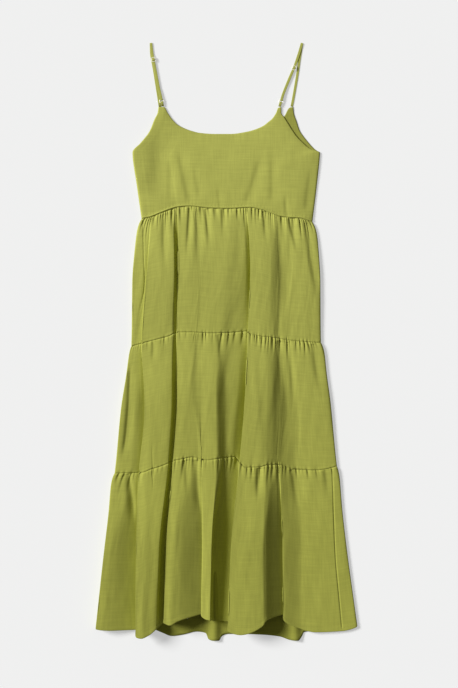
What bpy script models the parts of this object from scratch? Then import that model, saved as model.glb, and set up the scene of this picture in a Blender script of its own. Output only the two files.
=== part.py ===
"""A three-tier gathered midi dress on thin adjustable straps, laid flat.

The back panels lie on the surface.  The front panels lie on them and stand up in long folds
that open towards the hem.  Frame: metres, +X to the right across the dress, +Y from the hem
to the straps, +Z up off the surface.  The origin lies on the surface, in the middle of the
dress's length and width.  All tables are in millimetres.
"""
import math

import bmesh
import bpy
import numpy as np

MM = 0.001

# Driving sizes, millimetres.
CLOTH = 1.2               # wall of the panels
BAND = 0.8                # wall of straps and loops
GAP = 0.3                 # between touching pieces
BACK_TOP = CLOTH          # the back panels lie flat on the surface
SIDE_HEIGHT = BACK_TOP + GAP + CLOTH + 0.2    # outer face of the front at its side edges
NECK_HEIGHT = BACK_TOP + GAP + CLOTH + 0.5    # outer face of the front along the neckline
STRAP_WIDTH = 5.5
COLUMN_PITCH = 5.6        # distance between the columns of a front tier
BACK_PITCH = 17.0         # distance between the columns of a back panel

OLIVE = (0.395, 0.407, 0.095, 1.0)
CREAM = (0.80, 0.77, 0.60, 1.0)

# The seams across the front, from the left side to the right.
WAIST_SEAM = (
    (-177.5, 258.0), (-161.0, 261.0), (-140.0, 269.0), (-119.0, 277.0), (-102.0, 282.0),
    (-77.0, 284.0), (-35.0, 280.0), (7.0, 279.0), (49.0, 281.0), (74.5, 276.5),
    (91.0, 270.5), (112.0, 263.0), (133.0, 260.0), (154.0, 259.0), (179.5, 251.5),
)
SEAM_1 = (
    (-199.0, -9.0), (-161.0, 1.5), (-140.0, 7.0), (-119.0, 13.0), (-104.0, 20.5),
    (-77.0, 20.5), (-30.0, 18.5), (7.0, 19.5), (43.0, 22.5), (50.0, 17.5),
    (70.0, 12.0), (91.0, 10.0), (133.0, 3.5), (175.0, -0.5), (197.5, -1.5),
)
SEAM_2 = (
    (-233.0, -275.5), (-177.5, -273.5), (-156.5, -266.0), (-140.0, -261.0), (-123.0, -254.5),
    (-112.0, -248.5), (-98.0, -246.0), (-72.0, -241.0), (-41.0, -247.0), (-10.0, -243.0),
    (17.0, -241.0), (28.5, -252.5), (43.0, -262.5), (66.0, -262.0), (91.0, -257.0),
    (110.0, -257.0), (140.0, -266.0), (186.0, -269.0), (207.0, -267.0), (231.0, -261.0),
)

# Long folds of the skirt's front, from side to side.  Each row is one line down the cloth:
# x where it meets the seven stations, its height off the surface there, and its y at the hem.
# The stations are the waist seam, the middle of tier 1, seam 1, the middle of tier 2,
# seam 2, the middle of tier 3 and the hem.
SKIRT_LINES = (
    # name
    #   x at: waist  tier_1  seam_1  tier_2  seam_2  tier_3    hem
    #   height: waist tier_1 seam_1  tier_2  seam_2  tier_3    hem    hem y
    ("side_left",
     (-177.5, -196.5, -199.0, -219.5, -233.0, -256.0, -274.0),
     (2.9, 2.9, 2.9, 2.9, 2.9, 2.9, 2.9), -601.0),
    ("left_trough",
     (-169.0, -180.0, -190.0, -213.0, -219.5, -240.5, -249.0),
     (5.0, 9.0, 5.5, 7.0, 7.0, 12.0, 12.0), -606.0),
    ("left_ridge",
     (-160.5, -168.0, -184.0, -200.5, -209.0, -218.0, -224.0),
     (6.0, 11.0, 7.5, 14.0, 9.0, 11.0, 10.0), -604.5),
    ("step_floor",
     (-152.5, -159.5, -176.0, -173.5, -178.0, -191.5, -192.5),
     (6.0, 11.0, 6.0, 6.0, 5.5, 6.5, 6.0), -604.5),
    ("step_lip",
     (-147.0, -151.0, -169.5, -170.5, -174.5, -189.0, -190.5),
     (7.5, 12.5, 8.5, 18.0, 10.0, 24.0, 26.0), -618.0),
    ("tube_1",
     (-133.5, -137.5, -148.0, -148.0, -158.5, -169.0, -169.0),
     (8.0, 15.5, 11.0, 22.0, 13.0, 31.0, 33.0), -620.5),
    ("a_shoulder",
     (-118.5, -120.5, -123.0, -125.0, -137.5, -147.0, -148.0),
     (8.0, 14.0, 10.5, 19.0, 12.0, 25.0, 26.0), -608.5),
    ("a_floor",
     (-105.0, -104.0, -105.5, -109.0, -117.5, -129.0, -137.5),
     (5.2, 5.4, 5.0, 5.4, 5.2, 5.6, 5.6), -587.0),
    ("a_lip",
     (-101.5, -102.0, -103.0, -107.0, -115.0, -127.0, -135.5),
     (8.0, 15.0, 10.5, 18.0, 12.5, 26.0, 24.0), -587.5),
    ("tube_2_left",
     (-83.0, -77.0, -81.0, -89.0, -95.5, -106.0, -116.5),
     (9.0, 18.0, 12.0, 23.0, 14.0, 33.0, 33.0), -592.5),
    ("tube_2_dip",
     (-62.0, -49.5, -56.0, -62.0, -60.0, -72.5, -79.0),
     (8.5, 16.0, 11.0, 17.0, 12.0, 21.0, 15.0), -569.0),
    ("tube_2_right",
     (-34.5, -22.0, -37.0, -39.0, -41.0, -43.0, -39.0),
     (9.0, 17.5, 12.0, 22.0, 14.0, 31.0, 30.0), -583.5),
    ("b_shoulder",
     (-5.0, -3.0, -22.0, -27.5, -26.5, -26.5, -25.5),
     (9.0, 16.0, 11.0, 19.0, 13.0, 25.0, 24.0), -583.0),
    ("b_slope",
     (20.0, 24.0, 4.0, -5.5, -9.5, -15.0, -18.0),
     (8.0, 12.0, 9.5, 11.0, 9.0, 10.0, 9.0), -584.5),
    ("b_floor",
     (41.0, 45.5, 43.0, 33.5, 25.5, 5.0, -5.5),
     (5.2, 5.6, 5.2, 5.6, 5.4, 5.8, 5.8), -588.5),
    ("b_lip",
     (45.0, 48.0, 46.0, 35.5, 28.0, 7.0, -3.5),
     (8.0, 15.0, 10.5, 18.0, 12.5, 27.0, 25.0), -603.0),
    ("tube_3",
     (64.0, 68.0, 68.0, 60.0, 49.5, 39.0, 37.0),
     (9.0, 18.0, 12.0, 23.0, 14.0, 34.0, 35.0), -612.5),
    ("c_shoulder",
     (91.5, 95.0, 90.0, 83.0, 83.0, 81.0, 82.0),
     (8.5, 15.0, 11.0, 19.0, 12.5, 26.0, 24.0), -584.5),
    ("c_floor",
     (108.0, 111.0, 111.0, 104.0, 107.0, 107.5, 102.0),
     (7.5, 11.5, 8.0, 10.0, 6.0, 7.0, 7.5), -574.0),
    ("c_lip",
     (120.0, 124.0, 122.0, 121.0, 113.0, 114.5, 127.0),
     (8.0, 13.0, 9.0, 9.5, 10.0, 18.0, 20.0), -589.5),
    ("right_dip",
     (133.0, 140.0, 131.5, 140.0, 146.0, 149.0, 144.0),
     (7.0, 12.0, 7.0, 7.5, 7.5, 14.0, 19.0), -602.0),
    ("right_ridge",
     (146.0, 156.0, 140.0, 146.0, 158.0, 169.0, 167.0),
     (7.0, 13.0, 9.5, 17.0, 11.0, 24.0, 27.0), -609.5),
    ("right_trough",
     (168.0, 181.0, 180.0, 196.0, 207.0, 217.5, 226.0),
     (5.0, 9.0, 6.5, 11.0, 7.5, 15.0, 17.0), -608.5),
    ("side_right",
     (179.5, 195.5, 197.5, 217.5, 231.0, 251.0, 274.0),
     (2.9, 2.9, 2.9, 2.9, 2.9, 2.9, 2.9), -597.0),
)
TIER_STATIONS = 2         # stations from the top of a tier to its lower edge
BACK_ARCH = (21.0, 18.0, 18.0)       # how far each seam of the back rises between its ends

# Fractions of a tier's height at which its rows lie, closer under the gathered seam.
TIER_ROWS = (0.0, 0.03, 0.12, 0.28, 0.5, 0.75, 1.0)
PINCH = 6.0               # distance below a seam at which its gathers reach their full height

# Gathers of each tier: height of a small ridge under the seam, how far down it runs, and how
# much one ridge differs from the next.
GATHERS = (
    # tier  height  reach  unevenness
    (1, 1.5, 60.0, 0.80),
    (2, 1.7, 75.0, 0.85),
    (3, 1.8, 85.0, 0.90),
)

# The back's hem, left to right, which drops below the front in two small folds.
BACK_HEM = (
    (-273.0, -600.0), (-213.0, -602.0), (-161.0, -602.0), (-135.5, -610.5), (-114.5, -618.0),
    (-89.0, -614.5), (-62.0, -608.5), (-44.0, -611.5), (-37.0, -625.0), (-28.5, -627.4),
    (-16.0, -627.4), (-9.5, -618.0), (3.0, -613.5), (28.5, -613.5), (74.5, -615.0),
    (112.5, -619.0), (133.5, -626.0), (150.0, -627.4), (158.5, -618.0), (163.0, -609.5),
    (196.0, -606.5), (273.0, -596.0),
)

# Bodice outlines.  Each edge runs from the strap down to the waist seam.
FRONT_NECK = (
    (-142.0, 493.0), (-131.5, 493.0), (-123.0, 480.5), (-114.5, 468.0), (-102.0, 455.5),
    (-89.0, 448.5), (-72.5, 442.5), (-55.5, 438.5), (-24.0, 436.3), (7.5, 436.3),
    (45.0, 441.5), (66.0, 448.0), (79.0, 454.5), (87.0, 461.0), (95.5, 468.0),
    (104.0, 480.5), (109.0, 491.5), (114.5, 492.5),
)
FRONT_LEFT_EDGE = (
    (-142.0, 493.0), (-143.8, 480.5), (-150.0, 468.0), (-160.5, 442.5), (-179.5, 417.5),
    (-196.5, 397.5), (-187.0, 325.0), (-177.5, 258.0),
)
FRONT_RIGHT_EDGE = (
    (114.5, 492.5), (114.5, 480.5), (121.0, 471.0), (133.5, 451.0), (148.0, 430.0),
    (160.5, 417.5), (175.5, 405.0), (195.5, 397.0), (188.5, 325.0), (179.5, 251.5),
)
BACK_NECK = (
    (-141.5, 491.0), (-136.5, 491.0), (-125.0, 470.0), (-110.0, 451.0), (-89.0, 436.5),
    (-55.5, 429.0), (7.5, 428.0), (60.0, 434.0), (87.0, 444.5), (106.0, 457.5),
    (121.0, 473.0), (133.5, 492.0), (140.5, 493.0),
)
BACK_LEFT_EDGE = (
    (-141.5, 491.0), (-142.0, 480.5), (-148.0, 468.0), (-158.5, 442.5), (-177.5, 417.5),
    (-196.0, 397.5), (-187.0, 325.0), (-177.5, 258.0),
)
BACK_RIGHT_EDGE = (
    (140.5, 493.0), (141.8, 480.5), (148.0, 461.5), (154.5, 442.5), (163.0, 430.0),
    (173.0, 417.5), (186.0, 405.0), (195.5, 397.5), (188.5, 325.0), (179.5, 251.5),
)
BODICE_CROWN = 4.5        # how far the front bodice rises between its edges
BODICE_ROWS = (0.0, 0.06, 0.14, 0.24, 0.36, 0.5, 0.64, 0.78, 0.9)
WAIST_RIDGE = 1.0         # raised, topstitched allowance above the waist seam
RIDGE_WIDTH = 5.0

# Soft creases of the front bodice: a line from one point to another, its width and depth.
BODICE_CREASES = (
    # name              x top  y top   x low  y low  width  depth
    ("left_armhole",   -150.0, 455.0, -161.0, 300.0, 11.0, 1.7),
    ("left_inner",     -127.0, 400.0, -128.0, 300.0, 8.0, 1.0),
    ("left_slant",     -106.0, 402.0, -81.0, 300.0, 10.0, 1.2),
    ("middle_left",    -77.0, 372.0, -58.0, 298.0, 9.0, 0.8),
    ("middle_right",   62.0, 372.0, 39.0, 298.0, 10.0, 1.0),
    ("right_inner",    90.0, 425.0, 88.0, 290.0, 9.0, 1.1),
    ("right_side",     172.0, 380.0, 160.0, 270.0, 9.0, 1.0),
)

# Straps in plan: the front run from the ring up to the shoulder bend, the back run from
# there down to the back bodice, and how far above the ring the slider sits.
STRAPS = {
    "left": {
        "front": ((-136.6, 508.0), (-138.6, 518.0), (-142.0, 531.0), (-145.5, 550.0),
                  (-149.5, 569.0), (-152.5, 588.0), (-156.0, 606.0), (-158.5, 626.4)),
        "back": ((-158.5, 626.4), (-158.0, 606.0), (-155.0, 588.0), (-151.5, 569.0),
                 (-148.5, 550.0), (-145.5, 531.0), (-142.5, 512.0), (-139.5, 491.8)),
        "slider_at": 86.0,
    },
    "right": {
        "front": ((115.3, 507.0), (118.5, 518.0), (125.0, 535.0), (133.5, 556.0),
                  (142.0, 575.0), (148.0, 592.0), (152.5, 606.0), (158.5, 626.4)),
        "back": ((158.5, 626.4), (155.5, 607.0), (153.0, 591.5), (150.0, 568.5),
                 (147.0, 549.5), (143.8, 531.0), (140.5, 512.0), (137.0, 493.6)),
        "slider_at": 73.0,
    },
}
WIRE = 0.6                # radius of the ring's wire
RING_HALF = (3.7, 2.3)    # centreline of the ring, half its width and height
RING_CORNER = 0.9
LOOP_LENGTH = 9.0         # from the ring down to the bodice
SLIDER_HALF = (4.3, 4.7)  # outside of the slider
SLIDER_BAR = 1.0
SLIDER_THICK = 0.9
SLOT_CLIMB = (            # the band's way up through a slot, from far off to the middle bar
    # bars away, share of the rise
    (2.2, 0.0), (1.0, 0.0), (0.82, 0.02), (0.5, 0.5), (0.2, 0.98),
)
HAIRPIN = WIRE + GAP + BAND / 2      # radius of the cloth's bend round the wire
BEND = (BAND + GAP) / 2              # radius of the bend at the shoulder
BEND_STEPS = 6
BACK_RUN = BAND / 2                  # height of the back run's middle
LOWER_RUN = BACK_RUN + BAND + GAP    # height of the front run, and of its turned-back end
MIDDLE_RUN = LOWER_RUN + BAND + GAP  # height of the front run over its turned-back end
WIRE_HEIGHT = LOWER_RUN + HAIRPIN
SLIDER_HEIGHT = MIDDLE_RUN + BAND / 2 + GAP + SLIDER_THICK / 2
OVER_BAR = SLIDER_HEIGHT + SLIDER_THICK / 2 + GAP + BAND / 2


def clear_scene():
    """Removes every object that the file starts with."""
    for item in list(bpy.data.objects):
        bpy.data.objects.remove(item, do_unlink=True)


def make_material(name, colour, roughness, metallic=0.0):
    """A Principled material of one colour."""
    material = bpy.data.materials.new(name)
    material.use_nodes = True
    shader = material.node_tree.nodes["Principled BSDF"]
    shader.inputs["Base Color"].default_value = colour
    shader.inputs["Roughness"].default_value = roughness
    shader.inputs["Metallic"].default_value = metallic
    return material


def smooth(knots, values, places):
    """Reads a monotone cubic through (knots, values) at the places.

    The values may be a row of numbers or a table with one row for each knot.
    """
    knots = np.asarray(knots, float)
    values = np.asarray(values, float)
    places = np.asarray(places, float)
    steps = np.diff(knots)
    wide = steps.reshape((-1,) + (1,) * (values.ndim - 1))
    slopes = np.diff(values, axis=0) / wide
    tangents = np.zeros_like(values)
    tangents[0] = slopes[0]
    tangents[-1] = slopes[-1]
    before, after = slopes[:-1], slopes[1:]
    same_way = before * after > 0
    heavy, light = 2 * wide[1:] + wide[:-1], wide[1:] + 2 * wide[:-1]
    safe_before = np.where(same_way, before, 1.0)
    safe_after = np.where(same_way, after, 1.0)
    mean = (heavy + light) / (heavy / safe_before + light / safe_after)
    tangents[1:-1] = np.where(same_way, mean, 0.0)
    index = np.clip(np.searchsorted(knots, places, side="right") - 1, 0, len(knots) - 2)
    shape = (-1,) + (1,) * (values.ndim - 1)
    share = ((places - knots[index]) / steps[index]).reshape(shape)
    step = steps[index].reshape(shape)
    start, end = values[index], values[index + 1]
    return (
        (1 + 2 * share) * (1 - share) ** 2 * start
        + share * (1 - share) ** 2 * step * tangents[index]
        + share ** 2 * (3 - 2 * share) * end
        + share ** 2 * (share - 1) * step * tangents[index + 1]
    )


def curve_points(points, shares):
    """Points on a smooth line through the given ones, at shares of its length."""
    points = np.asarray(points, float)
    lengths = np.hypot(*np.diff(points, axis=0).T)
    knots = np.concatenate(([0.0], np.cumsum(lengths))) / lengths.sum()
    return smooth(knots, points, shares)


def seam_height(seam, across):
    """The y of a seam at the given x values."""
    table = np.asarray(seam, float)
    return smooth(table[:, 0], table[:, 1], np.clip(across, table[0, 0], table[-1, 0]))


class SkirtFront:
    """The front of the skirt as one sheet: columns across it, and stations down it."""

    def __init__(self):
        """Places the columns between the fold lines, closer where a fold is narrow."""
        self.line_x = np.array([line[1] for line in SKIRT_LINES]).T
        self.line_z = np.array([line[2] for line in SKIRT_LINES]).T
        hem = np.array([line[3] for line in SKIRT_LINES])
        across = np.hypot(np.diff(self.line_x, axis=1), np.diff(self.line_z, axis=1))
        spans = across.mean(axis=0)
        self.knots = np.concatenate(([0.0], np.cumsum(spans)))
        places = []
        for start, span in zip(self.knots, spans):
            count = max(2, round(span / COLUMN_PITCH))
            places.extend(start + span * part / count for part in range(count))
        places.append(self.knots[-1])
        self.columns = np.array(places)
        self.x = smooth(self.knots, self.line_x.T, self.columns).T
        self.z = smooth(self.knots, self.line_z.T, self.columns).T
        self.hem = smooth(self.knots, hem, self.columns)

    def edge(self, seam_number):
        """x, y and z along seam 0 (the waist), 1, 2 or 3 (the hem)."""
        station = seam_number * TIER_STATIONS
        across = self.x[station]
        if seam_number == 3:
            along = self.hem
        else:
            along = seam_height((WAIST_SEAM, SEAM_1, SEAM_2)[seam_number], across)
        return across, along, self.z[station]

    def tier(self, number):
        """The grid of outer points of tier 1, 2 or 3, rows from its top to its lower edge."""
        first = (number - 1) * TIER_STATIONS
        stations = np.arange(len(self.x))
        places = first + TIER_STATIONS * np.array(TIER_ROWS)
        across = smooth(stations, self.x, places)
        height = smooth(stations, self.z, places)
        top = self.edge(number - 1)[1] - GAP / 2
        low = self.edge(number)[1] + (GAP / 2 if number < 3 else 0.0)
        share = np.array(TIER_ROWS)[:, None]
        along = top * (1 - share) + low * share
        return np.dstack((across, along, height))


def gather_heights(grid, number):
    """How far the gathers raise each outer point: every second column is a ridge."""
    _, height, reach, uneven = GATHERS[number - 1]
    column = np.arange(grid.shape[1])
    wander = 0.5 + 0.5 * np.sin(column * 1.9 + 1.8 * np.sin(column * 0.37 + number))
    strength = (column % 2) * (1 - uneven * wander)
    strength[[0, -1]] = 0.0
    run = reach * (1 - 0.5 * uneven * (1 - wander))
    down = grid[0, :, 1] - grid[:, :, 1]
    fade = np.clip(1 - down / run, 0.0, 1.0) ** 0.8
    pinch = np.clip(down / PINCH, 0.0, 1.0)
    return height * strength * fade * pinch


def wall_normals(grid):
    """Unit normals of a grid of points whose rows run down the dress, pointing up.

    Those of the first and last rows have no part along y, so that seams stay clear.
    """
    down = np.gradient(grid, axis=0)
    across = np.gradient(grid, axis=1)
    normal = np.cross(down, across)
    for row in (0, -1):
        normal[row] = np.cross((0.0, -1.0, 0.0), across[row])
    normal /= np.linalg.norm(normal, axis=2, keepdims=True)
    normal[:, 1:-1] = (normal[:, :-2] + 2 * normal[:, 1:-1] + normal[:, 2:]) / 4
    return normal / np.linalg.norm(normal, axis=2, keepdims=True)


def make_wall(name, outer, inner, material, collection):
    """One closed wall between two grids of points, its rims closed by strips.

    The strips are split the same way on both sides of a seam, so that they stay parallel.
    """
    rows, columns = outer.shape[:2]
    mesh = bmesh.new()
    layers = []
    for grid in (outer, inner):
        layers.append([[mesh.verts.new(point * MM) for point in row] for row in grid])
    top, bottom = layers
    for row in range(rows - 1):
        for column in range(columns - 1):
            corners = ((row, column), (row + 1, column), (row + 1, column + 1), (row, column + 1))
            mesh.faces.new([top[i][j] for i, j in corners])
            mesh.faces.new([bottom[i][j] for i, j in reversed(corners)])
    around = [(0, column) for column in range(columns)]
    around += [(row, columns - 1) for row in range(1, rows)]
    around += [(rows - 1, column) for column in range(columns - 2, -1, -1)]
    around += [(row, 0) for row in range(rows - 2, 0, -1)]
    for here, there in zip(around, around[1:] + around[:1]):
        rim = [top[here[0]][here[1]], top[there[0]][there[1]],
               bottom[there[0]][there[1]], bottom[here[0]][here[1]]]
        if here > there:
            rim = rim[1:] + rim[:1]
        mesh.faces.new([rim[0], rim[1], rim[2]])
        mesh.faces.new([rim[0], rim[2], rim[3]])
    return finish_mesh(name, mesh, material, collection)


def finish_mesh(name, mesh, material, collection):
    """Turns a bmesh into a shaded object in the collection."""
    data = bpy.data.meshes.new(name)
    mesh.to_mesh(data)
    mesh.free()
    data.materials.append(material)
    data.shade_smooth()
    data.set_sharp_from_angle(angle=math.radians(50))
    item = bpy.data.objects.new(name, data)
    collection.objects.link(item)
    return item


def make_front_tiers(skirt, material, collection):
    """The three gathered front tiers."""
    for number in (1, 2, 3):
        grid = skirt.tier(number)
        normals = wall_normals(grid)
        inner = grid - normals * CLOTH
        outer = grid + normals * gather_heights(grid, number)[:, :, None]
        make_wall(f"tier_{number}_front", outer, inner, material, collection)


def flat_panel(name, left, right, top, low, rows, material, collection):
    """A back panel lying on the surface, between two side lines, a top and a lower line.

    Each line gives points for shares from 0 to 1 of it.
    """
    span = np.linalg.norm(top(np.array([0.0])) - top(np.array([1.0])))
    columns = max(2, round(span / BACK_PITCH))
    shares = np.linspace(0.0, 1.0, columns + 1)
    grid = coons(left(rows), right(rows), top(shares), low(shares), rows, shares)
    floor = np.dstack((grid, np.zeros(grid.shape[:2])))
    upper = np.dstack((grid, np.full(grid.shape[:2], BACK_TOP)))
    return make_wall(name, upper, floor, material, collection)


def coons(left, right, top, low, rows, shares):
    """A grid of plan points that meets all four of its edge lines, whose corners are shared."""
    left, right = np.array(left), np.array(right)
    left[0], left[-1], right[0], right[-1] = top[0], low[0], top[-1], low[-1]
    down = np.asarray(rows, float)[:, None, None]
    over = np.asarray(shares, float)[None, :, None]
    ruled_down = (1 - down) * top[None] + down * low[None]
    ruled_over = (1 - over) * left[:, None] + over * right[:, None]
    corners = (
        (1 - over) * (1 - down) * top[0] + over * (1 - down) * top[-1]
        + (1 - over) * down * low[0] + over * down * low[-1]
    )
    return ruled_down + ruled_over - corners


def line_reader(points):
    """A function that reads plan points at shares of a line."""
    return lambda shares: curve_points(points, shares)


def seam_reader(seam, shift):
    """A function that reads plan points on a whole seam, moved along y."""
    def read(shares):
        across = seam[0][0] + (seam[-1][0] - seam[0][0]) * np.asarray(shares, float)
        return np.column_stack((across, seam_height(seam, across) + shift))
    return read


def arch_reader(seam, rise, shift):
    """A function that reads plan points on the back's seam, a low arch between its ends."""
    start, end = np.array(seam[0]), np.array(seam[-1])

    def read(shares):
        shares = np.asarray(shares, float)[:, None]
        arch = 4 * rise * shares * (1 - shares) + shift
        return start + (end - start) * shares + arch * np.array((0.0, 1.0))
    return read


def make_back_tiers(skirt, material, collection):
    """The three back tiers, flat on the surface, with the same sides as the front."""
    seams = (WAIST_SEAM, SEAM_1, SEAM_2)
    for number in (1, 2, 3):
        grid = skirt.tier(number)
        rows = np.array((0.0, 0.25, 0.5, 0.75, 1.0))
        stations = 2 * (number - 1) + 2 * rows
        sides = []
        for column in (0, -1):
            across = smooth(np.arange(len(skirt.x)), skirt.x[:, column], stations)
            along = grid[0, column, 1] + (grid[-1, column, 1] - grid[0, column, 1]) * rows
            sides.append(np.column_stack((across, along)))
        left, right = sides
        top = arch_reader(seams[number - 1], BACK_ARCH[number - 1], -GAP / 2)
        if number < 3:
            low = arch_reader(seams[number], BACK_ARCH[number], GAP / 2)
        else:
            low = line_reader(BACK_HEM)
        flat_panel(f"tier_{number}_back", lambda _: left, lambda _: right, top, low,
                   rows, material, collection)


def bodice_heights(plan, rows, skirt):
    """Outer height of the front bodice over its plan points."""
    across, _, waist = skirt.edge(0)
    at_waist = np.interp(plan[-1, :, 0], across, waist)
    shares = np.linspace(0.0, 1.0, plan.shape[1])[None, :]
    down = np.asarray(rows)[:, None]
    edge_lift = np.clip(np.minimum(shares, 1 - shares) / 0.08, 0.0, 1.0)
    base = NECK_HEIGHT + (at_waist[None, :] - NECK_HEIGHT) * down ** 0.8
    base = SIDE_HEIGHT + (base - SIDE_HEIGHT) * edge_lift ** 0.7
    crown = BODICE_CROWN * (1 - (2 * shares - 1) ** 4) * np.sin(np.pi * down ** 0.8)
    height = base + crown
    for _, x_top, y_top, x_low, y_low, width, depth in BODICE_CREASES:
        start = np.array((x_top, y_top))
        run = np.array((x_low, y_low)) - start
        away = plan - start
        along = np.clip(away @ run / (run @ run), 0.0, 1.0)
        reach = np.linalg.norm(away - along[:, :, None] * run, axis=2)
        taper = np.sin(np.pi * (0.15 + 0.85 * along)) ** 0.5
        height -= depth * taper * np.exp(-(reach / width) ** 2) * edge_lift
    return height


def make_bodice(skirt, material, collection):
    """Front bodice over back bodice."""
    columns = 40
    shares = np.linspace(0.0, 1.0, columns + 1)
    drop = FRONT_NECK[8][1] - WAIST_SEAM[7][1]
    ridge_rows = (1 - 1.25 * RIDGE_WIDTH / drop, 1 - RIDGE_WIDTH / drop, 1.0)
    rows = np.array(BODICE_ROWS + ridge_rows)
    waist = seam_reader(WAIST_SEAM, GAP / 2)
    left = curve_points(FRONT_LEFT_EDGE, rows)
    right = curve_points(FRONT_RIGHT_EDGE, rows)
    neck = curve_points(FRONT_NECK, shares)
    plan = coons(left, right, neck, waist(shares), rows, shares)
    grid = np.dstack((plan, bodice_heights(plan, rows, skirt)))
    normals = wall_normals(grid)
    ridge = np.zeros(grid.shape[:2])
    ridge[-2:] = WAIST_RIDGE
    outer = grid + normals * ridge[:, :, None]
    inner = grid - normals * CLOTH
    make_wall("bodice_front", outer, inner, material, collection)

    back_rows = np.linspace(0.0, 1.0, 11)
    flat_panel("bodice_back", line_reader(BACK_LEFT_EDGE), line_reader(BACK_RIGHT_EDGE),
               line_reader(BACK_NECK), arch_reader(WAIST_SEAM, BACK_ARCH[0], GAP / 2),
               back_rows, material, collection)


def sweep_band(name, route, material, collection):
    """A flat band along a route of points; its width stays level."""
    route = np.asarray(route, float)
    tangent = np.gradient(route, axis=0)
    tangent /= np.linalg.norm(tangent, axis=1, keepdims=True)
    mesh = bmesh.new()
    rings = []
    side = None
    for point, way in zip(route, tangent):
        level = np.array((way[1], -way[0], 0.0))
        length = np.linalg.norm(level)
        if side is None or length > 0.5:
            fresh = level / length
            if side is not None and fresh @ side < 0:
                fresh = -fresh
            side = fresh
        up = np.cross(side, way)
        corners = ((1, 1), (1, -1), (-1, -1), (-1, 1))
        rings.append([
            mesh.verts.new((point + side * a * STRAP_WIDTH / 2 + up * b * BAND / 2) * MM)
            for a, b in corners
        ])
    for here, there in zip(rings, rings[1:]):
        for corner in range(4):
            following = (corner + 1) % 4
            mesh.faces.new([here[corner], here[following], there[following], there[corner]])
    mesh.faces.new(list(reversed(rings[0])))
    mesh.faces.new(rings[-1])
    bmesh.ops.recalc_face_normals(mesh, faces=mesh.faces)
    return finish_mesh(name, mesh, material, collection)


def hairpin(centre, outward, radius, middle, downwards):
    """Points of a half turn in an upright plane, round a level axis at the centre."""
    turn = []
    for step in range(1, BEND_STEPS):
        angle = math.pi * step / BEND_STEPS
        reach = radius * math.sin(angle)
        rise = radius * math.cos(angle) * (1 if downwards else -1)
        turn.append((centre[0] + outward[0] * reach, centre[1] + outward[1] * reach,
                     middle + rise))
    return turn


def make_strap(side, cloth, hard, collection):
    """One strap with its slider, ring and loop."""
    sizes = STRAPS[side]
    front = np.asarray(sizes["front"], float)
    back = np.asarray(sizes["back"], float)
    length = np.hypot(*np.diff(front, axis=0).T).sum()
    at_slider = sizes["slider_at"] / length
    bar = SLIDER_HALF[1] - SLIDER_BAR / 2
    near = bar / length

    lower = curve_points(front, np.linspace(at_slider, 0.0, 7))
    first = front[0] - front[1]
    outward = first / np.linalg.norm(first)
    route = [(x, y, LOWER_RUN) for x, y in lower]
    route += hairpin(front[0], outward, HAIRPIN, WIRE_HEIGHT, downwards=False)
    climb = [(-reach, rise) for reach, rise in SLOT_CLIMB]
    crossing = climb + [(0.0, 1.0)] + [(-reach, rise) for reach, rise in reversed(climb)]
    stops = [0.0, 0.10, 0.22] + [at_slider + reach * near for reach, _ in crossing]
    rises = [WIRE_HEIGHT + HAIRPIN, MIDDLE_RUN + 0.7, MIDDLE_RUN]
    rises += [MIDDLE_RUN + rise * (OVER_BAR - MIDDLE_RUN) for _, rise in crossing]
    rises[-1] = LOWER_RUN
    upper = curve_points(front, np.array(stops))
    route += [(x, y, z) for (x, y), z in zip(upper, rises)]
    rest = curve_points(front, np.linspace(at_slider + 3.2 * near, 1.0, 3))
    route += [(x, y, LOWER_RUN) for x, y in rest]
    last = front[-1] - front[-2]
    shoulder = last / np.linalg.norm(last)
    route += hairpin(front[-1], shoulder, BEND, BACK_RUN + BEND, downwards=True)
    route += [(x, y, BACK_RUN) for x, y in curve_points(back, np.linspace(0.0, 1.0, 9))]
    sweep_band(f"strap_{side}", route, cloth, collection)

    centre = curve_points(front, np.array([at_slider]))[0]
    ahead = curve_points(front, np.array([at_slider + near]))[0]
    way = (ahead - centre) / np.linalg.norm(ahead - centre)
    make_slider(f"slider_{side}", centre, math.atan2(-way[0], way[1]), hard, collection)

    middle = front[0] + outward * RING_HALF[1]
    angle = math.atan2(outward[0], -outward[1])
    make_ring(f"ring_{side}", middle, angle, hard, collection)
    low_bar = middle + outward * RING_HALF[1]
    foot = low_bar + outward * LOOP_LENGTH
    up = -outward
    path = [(*foot, MIDDLE_RUN + 0.7), (*low_bar, WIRE_HEIGHT + HAIRPIN)]
    path += hairpin(low_bar, up, HAIRPIN, WIRE_HEIGHT, downwards=True)
    path += [(*low_bar, LOWER_RUN), (*foot, LOWER_RUN + 0.6)]
    sweep_band(f"strap_loop_{side}", path, cloth, collection)


def rounded_rectangle(half, corner, steps):
    """Points round a rectangle with round corners."""
    points = []
    for quarter, (across, up) in enumerate(((1, 1), (-1, 1), (-1, -1), (1, -1))):
        for step in range(steps + 1):
            angle = math.pi / 2 * (quarter + step / steps)
            points.append((across * (half[0] - corner) + corner * math.cos(angle),
                           up * (half[1] - corner) + corner * math.sin(angle)))
    return points


def curve_object(name, splines, material, collection, **settings):
    """A curve object made of closed straight-sided splines, millimetres in plan."""
    data = bpy.data.curves.new(name, "CURVE")
    for key, value in settings.items():
        setattr(data, key, value)
    for points in splines:
        spline = data.splines.new("POLY")
        spline.points.add(len(points) - 1)
        spline.use_cyclic_u = True
        for slot, (across, up) in zip(spline.points, points):
            slot.co = (across * MM, up * MM, 0.0, 1.0)
    data.materials.append(material)
    item = bpy.data.objects.new(name, data)
    collection.objects.link(item)
    return item


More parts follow.
